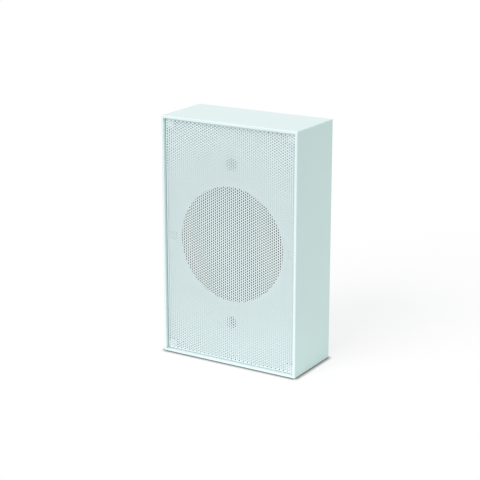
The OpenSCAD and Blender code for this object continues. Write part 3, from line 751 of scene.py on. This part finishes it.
def sharpen(piece: bpy.types.Object, angle: float = 35.0) -> None:
    """Keeps edges that bend by more than an angle sharp.

    Args:
        piece: The object.
        angle: The angle in degrees.
    """
    piece.data.set_sharp_from_angle(angle=math.radians(angle))


def lean(piece: bpy.types.Object) -> None:
    """Bakes a piece's transform into its mesh.

    Args:
        piece: The object.
    """
    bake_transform(piece)


# Sub-assemblies


@dataclass
class Dresser:
    """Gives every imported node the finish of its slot.
    """

    frame: dict

    def dress(self) -> None:
        """Dresses all nodes by the record's list of subparts."""
        for part in self.frame["record"]["subparts"]:
            node = self.frame["nodes"][part["node"]]
            node.data.materials.clear()
            node.data.materials.append(FINISHES[part["material_slot"]].material())
            node.data.shade_smooth()
            sharpen(node, 30.0)
            LOG.info("%s: dressed in %s", part["node"], part["material_slot"])


@dataclass
class Grille:
    """The folded and perforated sheet.

    Args:
        sheet: Thickness.
        bend: Outer radius of the folds.
        pitch: Distance between neighbouring holes; they stand in upright columns.
        hole: Radius of the holes' corners.
        sides: Corners of each hole.
        margin: Plain edge between fold and holes.
        notch: How far the folds stop short of the corners.
        steps: Faces across a fold.
    """

    sheet: float = 0.8 * MM
    bend: float = 1.0 * MM
    pitch: float = 3.05 * MM
    hole: float = 1.08 * MM
    sides: int = 8
    margin: float = 0.4 * MM
    notch: float = 2.2 * MM
    steps: int = 5

    def centres(self, half_w: float, half_h: float) -> np.ndarray:
        """Middles of the holes: columns pitch * sqrt(3) / 2 apart, every second one half a pitch higher.

        The pattern is stretched a little each way, so that it just fills the sheet.

        Args:
            half_w: Half the width that the middles may take up.
            half_h: Half the height that they may take up.

        Returns:
            The middles, of two columns.
        """
        columns = round(half_w / (self.pitch * math.sqrt(3) / 2))
        rows = int(half_h / self.pitch - 0.5) + 0.5
        reach = np.arange(-int(rows) - 1, int(rows) + 2)
        c, k = np.meshgrid(np.arange(-columns, columns + 1), reach, indexing="ij")
        x, z = c * half_w / columns, (k + 0.5 * (c % 2)) * half_h / rows
        kept = np.abs(z) <= half_h * (1 + 1e-6)
        return np.stack([x[kept], z[kept]], axis=1)

    def stations(self, w: float, h: float) -> tuple[np.ndarray, np.ndarray]:
        """Points round the flat part, three a side, and the way each one moves as the sheet folds out.

        Args:
            w: Half the flat part's width.
            h: Half its height.

        Returns:
            Points and outward directions, both of two columns, anticlockwise from the lower left corner.
        """
        n = self.notch - self.bend
        points = [(-w, -h), (-w + n, -h), (w - n, -h), (w, -h), (w, -h + n), (w, h - n),
                  (w, h), (w - n, h), (-w + n, h), (-w, h), (-w, h - n), (-w, -h + n)]
        ways = [(-1, -1), (0, -1), (0, -1), (1, -1), (1, 0), (1, 0),
                (1, 1), (0, 1), (0, 1), (-1, 1), (-1, 0), (-1, 0)]
        return np.array(points, float), np.array(ways, float)

    def build(self) -> bpy.types.Object:
        """Makes the sheet, its folds and its flanges as one closed mesh.

        Returns:
            The grille.
        """
        low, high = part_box("grille")
        y, z, depth = low.y, (low.z + high.z) / 2, high.y - low.y
        w, h = high.x - self.bend, (high.z - low.z) / 2 - self.bend
        border, ways = self.stations(w, h)
        middles = self.centres(w - self.margin - self.hole, h - self.margin - self.hole)
        outline = circle(0.0, 0.0, self.hole, self.sides, math.pi / self.sides)
        holes = (middles[:, None, :] + outline[None, :, :]).reshape(-1, 2)
        triangles = pierced(border, list(holes.reshape(-1, self.sides, 2)))
        flat = np.concatenate([border, holes])
        lift = np.array([0.0, 0.0, z])
        made = Surface()
        front = made.place(upright(flat, y) + lift)
        back = made.place(upright(flat, y + self.sheet) + lift)
        made.span(front + triangles)
        made.span(back + triangles[:, ::-1])
        made.span(hole_walls(len(middles), self.sides, front + len(border), back + len(border)), True)
        self.fold(made, border, ways, front, back, lift + np.array([0.0, y, 0.0]), depth)
        grille = made.build("grille_sheet", "grille_paint")
        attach(grille, CABINET)
        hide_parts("grille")
        LOG.info("grille: %d holes", len(middles))
        return grille

    def fold(self, made: Surface, border: np.ndarray, ways: np.ndarray, front: int, back: int,
             base: np.ndarray, depth: float) -> None:
        """Adds the folds: a quarter turn o = r sin a, t = R - r cos a, then the four flanges.

        Args:
            made: The surface that grows.
            border: Points round the flat part.
            ways: Their outward directions.
            front: The number of the border's first front point.
            back: The number of its first back point.
            base: Where the flat part's middle lies.
            depth: Depth of the tray.
        """
        count = len(border)
        s = np.arange(count)
        following = (s + 1) % count
        inner = self.bend - self.sheet
        rings = {self.bend: [front + s], inner: [back + s]}
        for radius, numbers in rings.items():
            for angle in np.linspace(0, math.pi / 2, self.steps + 1)[1:]:
                out, deep = radius * math.sin(angle), self.bend - radius * math.cos(angle)
                numbers.append(made.place(upright(border + ways * out, deep) + base) + s)
        for a, b in zip(rings[self.bend], rings[self.bend][1:]):
            made.span(np.stack([a[s], b[s], b[following], a[following]], axis=1), True)
        for a, b in zip(rings[inner], rings[inner][1:]):
            made.span(np.stack([a[s], a[following], b[following], b[s]], axis=1), True)
        outside, inside = rings[self.bend][-1], rings[inner][-1]
        plain = s[s % 3 != 1]
        nxt = following[plain]
        made.span(np.stack([outside[plain], inside[plain], inside[nxt], outside[nxt]], axis=1))
        ends = np.stack([s[s % 3 == 1], s[s % 3 == 2]], axis=1)
        for a, b in ends:
            far = [made.place(upright((border[k] + ways[k] * r)[None], depth) + base)
                   for k in (a, b) for r in (self.bend, inner)]
            oa, ia, ob, ib = far
            made.span([[outside[a], oa, ob, outside[b]], [inside[a], inside[b], ib, ia], [oa, ia, ib, ob],
                       [outside[a], inside[a], ia, oa], [outside[b], ob, ib, inside[b]]])


@dataclass
class Baffle:
    """The board behind the grille, with round openings.

    Args:
        cutout: Radius of the driver's opening.
        vent: Radius of each vent.
        vent_offset: Height of the vents above and below the driver's middle.
        sides: Corners of the driver's opening.
        stain: Finish of its bare edges and back.
        spray: Slot whose finish the spray leaves on the vents' walls.
    """

    cutout: float = 66.5 * MM
    vent: float = 7.5 * MM
    vent_offset: float = 92.0 * MM
    sides: int = 128
    stain: Finish = Finish("baffle_edge", (0.035, 0.033, 0.031), 0.85, texture=Texture.FIBRES, scale=900.0,
                           depth=0.00006, contrast=0.6, drift=0.2, specular=0.2)
    spray: str = "grille_paint"

    def build(self) -> bpy.types.Object:
        """Makes the board, painted on its front and on the walls of its vents, which the spray reaches.

        Returns:
            The baffle.
        """
        low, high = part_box("front_baffle")
        z = (low.z + high.z) / 2
        h = high.z - z
        border = np.array([(low.x, -h), (high.x, -h), (high.x, h), (low.x, h)])
        holes = [circle(0.0, 0.0, self.cutout, self.sides)]
        holes += [circle(0.0, side * self.vent_offset, self.vent, self.sides // 2) for side in (-1, 1)]
        triangles = pierced(border, holes)
        flat = np.concatenate([border, *holes])
        lift = np.array([0.0, 0.0, z])
        made = Surface()
        front = made.place(upright(flat, low.y) + lift)
        back = made.place(upright(flat, high.y) + lift)
        made.span(front + triangles)
        painted = len(triangles)
        made.span(back + triangles[:, ::-1])
        made.span(hole_walls(1, len(border), front, back)[:, ::-1])
        start = len(border)
        for hole in holes:
            made.span(hole_walls(1, len(hole), front + start, back + start), True)
            start += len(hole)
        baffle = made.build("baffle_board", "cabinet_paint")
        baffle.data.materials.append(self.stain.material())
        baffle.data.materials.append(FINISHES[self.spray].material())
        coats = np.ones(len(baffle.data.polygons), np.int32)
        coats[:painted] = 0
        coats[-sum(len(vent) for vent in holes[1:]):] = 2
        baffle.data.polygons.foreach_set("material_index", coats)
        sharpen(baffle)
        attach(baffle, CABINET)
        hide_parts("front_baffle")
        return baffle


@dataclass
class Driver:
    """The cone and what bends between it and the frame.

    Args:
        sides: Steps round the axis.
        land_r: Inner radius of the surround.
        rim_r: Outer radius of the cone.
        roll_r: Radius of the surround's roll.
        roll_steps: Points along the front and the back of the roll.
        cloth: Thickness of the surround.
        paper: Thickness of the cone.
        shelf_t: Depth of the surround's shelf behind the baffle.
        cone_depth: Depth of the cone.
        cone_steps: Points down its wall.
        neck_r: Radius of the cone's neck.
        curve: Power of the cone's curve.
        cap_r: Radius of the dust cap.
        cap_rise: Height of its dome.
        cap_shell: Its thickness.
        cap_stand: How far its edge stands before the cone's face.
        cap_pole: Radius at which its rings end at the middle.
        cap_steps: Points from its middle to its edge.
        cap_sides: Steps round it.
        spider_t: Depth of the spider's shelf.
        spider_rs: Radii of the spider's collar, of the end of its waves and of its rim.
        spider_half: Half its thickness.
        spider_collar: Height of its collar.
        collar_w: Width of its collar.
        spider_sides: Steps round it.
        wave: Height of its waves.
        waves: Number of its waves.
        wave_from: Share of the way out at which the waves begin.
        wave_steps: Points along them.
        stiff_w: Width of the glued ring near the collar that goes with the cone.
        tag_x: How far each tinsel lead lies from the middle.
        tag_drop: How far below the axis the tags' ends lie.
        tag_t: Depth of the tags' face.
        lead_r: Distance from the axis at which the leads meet the cone.
        lead_d: Thickness of a lead.
        lead_gap: Gap between the leads' ends and the cone's back.
        y: Depth of the baffle's back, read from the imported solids.
        z: Height of the axis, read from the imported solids.
    """

    sides: int = 112
    land_r: float = 49.0 * MM
    rim_r: float = 52.0 * MM
    roll_r: float = 3.3 * MM
    roll_steps: tuple[int, int] = (17, 15)
    cloth: float = 0.8 * MM
    paper: float = 0.8 * MM
    shelf_t: float = 6.0 * MM
    cone_depth: float = 20.0 * MM
    cone_steps: int = 28
    neck_r: float = 13.1 * MM
    curve: float = 1.15
    cap_r: float = 17.0 * MM
    cap_rise: float = 6.0 * MM
    cap_shell: float = 0.6 * MM
    cap_stand: float = 0.1 * MM
    cap_pole: float = 0.05 * MM
    cap_steps: int = 16
    cap_sides: int = 64
    spider_t: float = 31.0 * MM
    spider_rs: tuple[float, float, float] = (13.1 * MM, 34.5 * MM, 43.5 * MM)
    spider_half: float = 0.25 * MM
    spider_collar: float = 2.0 * MM
    collar_w: float = 1.0 * MM
    spider_sides: int = 80
    wave: float = 1.0 * MM
    waves: int = 5
    wave_from: float = 0.05
    wave_steps: int = 90
    stiff_w: float = 2.0 * MM
    tag_x: float = 5.0 * MM
    tag_drop: float = 48.0 * MM
    tag_t: float = 28.7 * MM
    lead_r: float = 30.0 * MM
    lead_d: float = 0.9 * MM
    lead_gap: float = 0.4 * MM
    y: float = field(init=False, default=0.0)
    z: float = field(init=False, default=0.0)

    def __post_init__(self) -> None:
        """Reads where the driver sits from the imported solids."""
        low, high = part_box("front_baffle")
        self.y = high.y
        self.z = (low.z + high.z) / 2

    def cone_at(self, r: np.ndarray) -> np.ndarray:
        """Depth of the cone's front: t = shelf + depth * ((land - r) / (land - neck)) ^ curve.

        Args:
            r: Radii.

        Returns:
            Depths behind the baffle.
        """
        share = np.clip((self.land_r - r) / (self.land_r - self.neck_r), 0, 1)
        return self.shelf_t + self.cone_depth * share ** self.curve

    def finished(self, made: Surface, name: str, slot: str, node: str) -> bpy.types.Object:
        """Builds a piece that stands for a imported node.

        Args:
            made: Its surface.
            name: Its name.
            slot: Its material slot.
            node: The node.

        Returns:
            The object.
        """
        piece = made.build(name, slot)
        sharpen(piece)
        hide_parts(node)
        return piece

    def radii(self, piece: bpy.types.Object) -> np.ndarray:
        """Distance of each point from the driver's axis.

        Args:
            piece: The object.

        Returns:
            The distances.
        """
        points = np.zeros(len(piece.data.vertices) * 3, np.float32)
        piece.data.vertices.foreach_get("co", points)
        points = points.reshape(-1, 3)
        return np.hypot(points[:, 0], points[:, 2] - self.z)

    def cone(self) -> None:
        """Makes the paper cone: a flat rim and a curved wall down to the neck."""
        r = np.linspace(self.land_r, self.neck_r, self.cone_steps)
        front = np.stack([r, self.cone_at(r)], axis=1)
        back = front[::-1] + (0.0, self.paper)
        rim = [(self.rim_r, self.shelf_t)]
        profile = np.concatenate([rim, front, back, [(self.rim_r, self.shelf_t + self.paper)]])
        made = turned(profile, self.y, self.z, self.sides)
        piece = self.finished(made, "cone_paper_piece", "cone_paper", "cone")
        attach(piece, CONE)

    def dust_cap(self) -> None:
        """Makes the dome: t = base - rise + R - sqrt(R^2 - r^2), as a thin shell."""
        base = float(self.cone_at(np.array(self.cap_r))) - self.cap_stand
        ball = (self.cap_r ** 2 + self.cap_rise ** 2) / (2 * self.cap_rise)
        middle = base - self.cap_rise + ball
        small = ball - self.cap_shell
        inside_r = math.sqrt(small ** 2 - (middle - base) ** 2)
        outer = np.linspace(self.cap_pole, self.cap_r, self.cap_steps)
        inner = np.linspace(inside_r, self.cap_pole, self.cap_steps)
        front = np.stack([outer, middle - np.sqrt(ball ** 2 - outer ** 2)], axis=1)
        back = np.stack([inner, middle - np.sqrt(small ** 2 - inner ** 2)], axis=1)
        profile = np.concatenate([front, back])[::-1]
        made = turned(profile, self.y, self.z, self.cap_sides)
        piece = self.finished(made, "dust_cap_dome", "cone_paper", "dust_cap")
        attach(piece, CONE)

    def surround(self) -> None:
        """Makes the surround: two lands and a half roll r = c + R cos a, t = shelf - R sin a."""
        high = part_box("cone_surround")[1]
        centre = self.rim_r + self.roll_r
        top = self.shelf_t - self.cloth
        first = math.asin(self.cloth / self.roll_r)
        a = np.linspace(math.pi - first, first, self.roll_steps[0])
        b = np.linspace(0, math.pi, self.roll_steps[1])
        small = self.roll_r - self.cloth
        front = np.stack([centre + self.roll_r * np.cos(a), self.shelf_t - self.roll_r * np.sin(a)], axis=1)
        back = np.stack([centre + small * np.cos(b), self.shelf_t - small * np.sin(b)], axis=1)
        profile = np.concatenate([
            [(self.land_r, top)], front, [(high.x, top), (high.x, self.shelf_t)], back,
            [(self.land_r, self.shelf_t)]
        ])
        made = turned(profile, self.y, self.z, self.sides)
        piece = self.finished(made, "surround_roll", "surround_cloth", "cone_surround")
        share = (centre + self.roll_r - self.radii(piece)) / (2 * self.roll_r)
        lean(piece)

    def spider(self) -> None:
        """Makes the spider: a collar, waves t = level - h sin(2 pi n s) and a plain land."""
        start, end, rim = self.spider_rs
        level = self.spider_t - self.spider_half
        share = np.linspace(self.wave_from, 1, self.wave_steps)
        r = start + (end - start) * share
        line = np.stack([r, level - self.wave * np.sin(2 * math.pi * self.waves * share)], axis=1)
        half = np.array([0.0, self.spider_half])
        collar = level - self.spider_half - self.spider_collar
        profile = np.concatenate([
            [(start, collar), (start + self.collar_w, collar)], line - half,
            [(rim, level - self.spider_half), (rim, level + self.spider_half)], (line + half)[::-1],
            [(start, level + self.spider_half)]
        ])
        made = turned(profile, self.y, self.z, self.spider_sides)
        piece = self.finished(made, "spider_disc", "spider_cloth", "spider")
        share = (end - self.radii(piece)) / (end - start - self.stiff_w)
        lean(piece)

    def leads(self) -> None:
        """Makes the two tinsel leads as tubes along smooth curves, from the tags to the cone."""
        end_t = float(self.cone_at(np.array(self.lead_r))) + self.paper + self.lead_d / 2 + self.lead_gap
        route = np.array([
            (self.tag_drop + 2 * MM, self.tag_t - 0.6 * MM), (self.tag_drop, self.tag_t - 1.2 * MM),
            (self.tag_drop - 4 * MM, self.tag_t - 3 * MM), (self.tag_drop - 8 * MM, self.tag_t - 4.5 * MM),
            (self.lead_r + 4 * MM, end_t + 3 * MM), (self.lead_r, end_t)
        ])
        made = Surface()
        for side in (-1, 1):
            across = np.full(len(route), side * self.tag_x)
            path = np.stack([across, self.y + route[:, 1], self.z - route[:, 0]], axis=1)
            tube(made, path, self.lead_d / 2)
        piece = self.finished(made, "tinsel_pair", "copper_wire", "tinsel_leads")
        lean(piece)

    def build(self) -> None:
        """Makes the pieces."""
        self.cone()
        self.dust_cap()
        self.surround()
        self.spider()
        self.leads()
        LOG.info("driver: cone, cap, surround, spider and leads")


def tube(made: Surface, path: np.ndarray, radius: float, sides: int = 10, steps: int = 8) -> np.ndarray:
    """Adds a closed tube along the Catmull-Rom curve through a path.

    Args:
        made: The surface that grows.
        path: The points that the curve goes through.
        radius: The tube's radius.
        sides: Its sides.
        steps: Steps between two points.

    Returns:
        For each point added, how far along the tube it lies, 0 to 1.
    """
    padded = np.concatenate([path[:1], path, path[-1:]])
    t = np.arange(steps)[:, None] / steps
    runs = []
    for p0, p1, p2, p3 in zip(padded, padded[1:], padded[2:], padded[3:]):
        runs.append(0.5 * (2 * p1 + (p2 - p0) * t + (2 * p0 - 5 * p1 + 4 * p2 - p3) * t ** 2
                           + (3 * p1 - p0 - 3 * p2 + p3) * t ** 3))
    line = np.concatenate([*runs, path[-1:]])
    heading = np.gradient(line, axis=0)
    heading /= np.linalg.norm(heading, axis=1)[:, None]
    side = np.cross(heading, np.array([1.0, 0.1, 0.1]))
    side /= np.linalg.norm(side, axis=1)[:, None]
    rise = np.cross(side, heading)
    angles = 2 * math.pi * np.arange(sides) / sides
    rings = (line[:, None, :] + radius * (np.cos(angles)[None, :, None] * side[:, None, :]
                                          + np.sin(angles)[None, :, None] * rise[:, None, :]))
    first = made.place(rings.reshape(-1, 3))
    i, k = np.meshgrid(np.arange(len(line) - 1), np.arange(sides), indexing="ij")
    i, k = i.ravel(), k.ravel()
    k1 = (k + 1) % sides
    quads = [i * sides + k, (i + 1) * sides + k, (i + 1) * sides + k1, i * sides + k1]
    made.span(first + np.stack(quads, axis=1), True)
    fan = np.arange(1, sides - 1)
    zero = np.zeros_like(fan)
    made.span(first + np.stack([zero, fan, fan + 1], axis=1))
    made.span(first + (len(line) - 1) * sides + np.stack([zero, fan + 1, fan], axis=1))
    length = np.concatenate([[0.0], np.cumsum(np.linalg.norm(np.diff(line, axis=0), axis=1))])
    return np.repeat(length / length[-1], sides)


# Studio


@dataclass
class Studio:
    """White surroundings, soft light and the camera.

    Args:
        sky: Colour of the light from all round.
        sky_level: Its level.
        sun: Colour of the lamp.
        sun_level: Its level, as the radiance that it adds to a white face turned to it.
        sun_from: Where the lamp shines from.
        sun_angle: Its apparent size, in degrees.
        bounce: Colour of the floor near the object, as it lights it: a painted pool of light that the camera
            doesn't see.
        far_bounce: Share of that colour that the floor has afar.
        pool: Radius at which it has sunk halfway.
        pool_at: Middle of the bright floor.
        glow: Share of the floor's white that the object's shadow doesn't dim.
        contact_shade_reach: Reach of the painted shade, a dark line where the object meets the floor.
        contact_shade_power: How sharply that painted shade darkens.
        reach: Half the floor's width.
        drop: How far it lies below the object, so that the two don't flicker.
        eye: The camera's place.
        target: What it looks at.
        lens: Its focal length, in millimetres, on a sensor 36 mm wide.
    """

    sky: tuple[float, float, float] = (0.865, 1.0, 0.975)
    sky_level: float = 0.70
    sun: tuple[float, float, float] = (1.19, 1.0, 1.11)
    sun_level: float = 0.46
    sun_from: tuple[float, float, float] = (-0.18, -0.79, 0.55)
    sun_angle: float = 40.0
    bounce: tuple[float, float, float] = (0.88, 0.95, 0.935)
    far_bounce: float = 0.55
    pool: float = 0.5
    pool_at: tuple[float, float, float] = (0.35, 0.10, 0.0)
    glow: float = 0.75
    contact_shade_reach: float = 6.0 * MM
    contact_shade_power: float = 2.2
    reach: float = 60.0
    drop: float = 0.3 * MM
    eye: tuple[float, float, float] = (0.811, -1.336, 0.592)
    target: tuple[float, float, float] = (0.0162, -0.040, 0.1501)
    lens: float = 107.2

    def seen(self, graph: Graph) -> bpy.types.NodeSocket:
        """Tells rays that show the surroundings from rays that only light the object.

        Args:
            graph: The material's or the world's graph.

        Returns:
            1 for camera, glossy and transmission rays, 0 for the rest.
        """
        rays = graph.add("LightPath").outputs
        mirrored = graph.math("MAXIMUM", rays["Is Glossy Ray"], rays["Is Transmission Ray"])
        return graph.math("MAXIMUM", rays["Is Camera Ray"], mirrored)

    def world(self) -> None:
        """Makes an even sky that the camera and reflections see as plain white."""
        world = bpy.data.worlds.new("sky")
        world.use_nodes = True
        graph = Graph(world.node_tree)
        seen = graph.add("Background", {"Color": (1.0, 1.0, 1.0, 1.0), "Strength": 1.0})
        light = graph.add("Background", {"Color": (*self.sky, 1.0), "Strength": self.sky_level})
        mixed = graph.add("MixShader", {0: self.seen(graph), 1: light.outputs[0], 2: seen.outputs[0]})
        graph.add("OutputWorld", {"Surface": mixed.outputs[0]})
        bpy.context.scene.world = world

    def lamp(self) -> None:
        """Makes the soft lamp above the left shoulder."""
        data = bpy.data.lights.new("soft_lamp", "SUN")
        data.color = self.sun
        data.energy = self.sun_level * math.pi
        data.angle = math.radians(self.sun_angle)
        lamp = bpy.data.objects.new("soft_lamp", data)
        lamp.rotation_mode = "QUATERNION"
        lamp.rotation_quaternion = Vector(self.sun_from).to_track_quat("Z", "Y")
        bpy.context.scene.collection.objects.link(lamp)

    def floor(self) -> None:
        """Makes the white floor, which keeps the object's shadow.

        What it sends back to the object is far + (1 - far) / (1 + (away / pool) ^ 4), a painted pool of
        light, brightest near the object. The rays that show it find white, darker only where the object
        shades it and along a painted shade line where the two meet.
        """
        made = bpy.data.materials.new("floor_white")
        made.use_nodes = True
        graph = Graph(made.node_tree)
        place = graph.add("TexCoord").outputs["Object"]
        # Painted pool of light: the floor's colour, as it lights the object, is brightest round pool_at and
        # sinks to far_bounce afar.
        away = graph.add("VectorMath", {0: place, 1: self.pool_at}, operation="DISTANCE").outputs["Value"]
        spread = graph.math("POWER", graph.math("DIVIDE", away, self.pool), 4.0)
        near = graph.math("DIVIDE", 1.0 - self.far_bounce, graph.math("ADD", spread, 1.0))
        level = graph.math("ADD", near, self.far_bounce)
        grey = graph.add("CombineXYZ", {0: level, 1: level, 2: level}).outputs[0]
        sent = graph.add("VectorMath", {0: grey, 1: self.bounce}, operation="MULTIPLY").outputs[0]
        lit = graph.add("BsdfDiffuse", {"Color": sent})
        up = Vector(self.sun_from).normalized().z
        open_light = np.array(self.sky) * self.sky_level + np.array(self.sun) * self.sun_level * up
        shade = tuple((1.0 - self.glow) / open_light)
        # Painted shade: ambient occlusion darkens the floor's white in a thin line where the object meets
        # it.
        openness = graph.add("AmbientOcclusion", {"Distance": self.contact_shade_reach}).outputs["AO"]
        line = graph.math("POWER", openness, self.contact_shade_power)
        flat = graph.add("CombineXYZ", {0: line, 1: line, 2: line}).outputs[0]
        dimmed = graph.add("VectorMath", {0: flat, 1: shade}, operation="MULTIPLY").outputs[0]
        shaded = graph.add("BsdfDiffuse", {"Color": dimmed})
        glow = graph.add("Emission", {"Color": flat, "Strength": self.glow})
        white = graph.add("AddShader", {0: shaded.outputs[0], 1: glow.outputs[0]})
        mixed = graph.add("MixShader", {0: self.seen(graph), 1: lit.outputs[0], 2: white.outputs[0]})
        graph.add("OutputMaterial", {"Surface": mixed.outputs[0]})
        mesh = bpy.data.meshes.new("floor")
        corners = [(x * self.reach, y * self.reach, 0) for x, y in ((-1, -1), (1, -1), (1, 1), (-1, 1))]
        mesh.from_pydata(corners, [], [(0, 1, 2, 3)])
        mesh.materials.append(made)
        floor = bpy.data.objects.new("floor", mesh)
        floor.location.z = -self.drop
        bpy.context.scene.collection.objects.link(floor)

    def camera(self) -> None:
        """Sets the camera as the photograph was taken."""
        data = bpy.data.cameras.new("camera")
        data.lens = self.lens
        data.sensor_width = 36.0
        camera = bpy.data.objects.new("camera", data)
        camera.location = self.eye
        camera.rotation_mode = "QUATERNION"
        camera.rotation_quaternion = (Vector(self.target) - Vector(self.eye)).to_track_quat("-Z", "Y")
        bpy.context.scene.collection.objects.link(camera)
        bpy.context.scene.camera = camera

    def build(self) -> None:
        """Makes the surroundings."""
        self.world()
        self.lamp()
        self.floor()
        self.camera()
        bpy.context.scene.view_settings.view_transform = "Standard"
        LOG.info("studio ready")


def main() -> None:
    """Loads the frame, dresses it, builds the finer pieces and sets the scene."""
    logging.basicConfig(level=logging.INFO, format="%(name)s: %(message)s")
    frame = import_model()
    Dresser(frame).dress()
    Grille().build()
    Baffle().build()
    Driver().build()
    Studio().build()


if __name__ == "__main__":
    main()
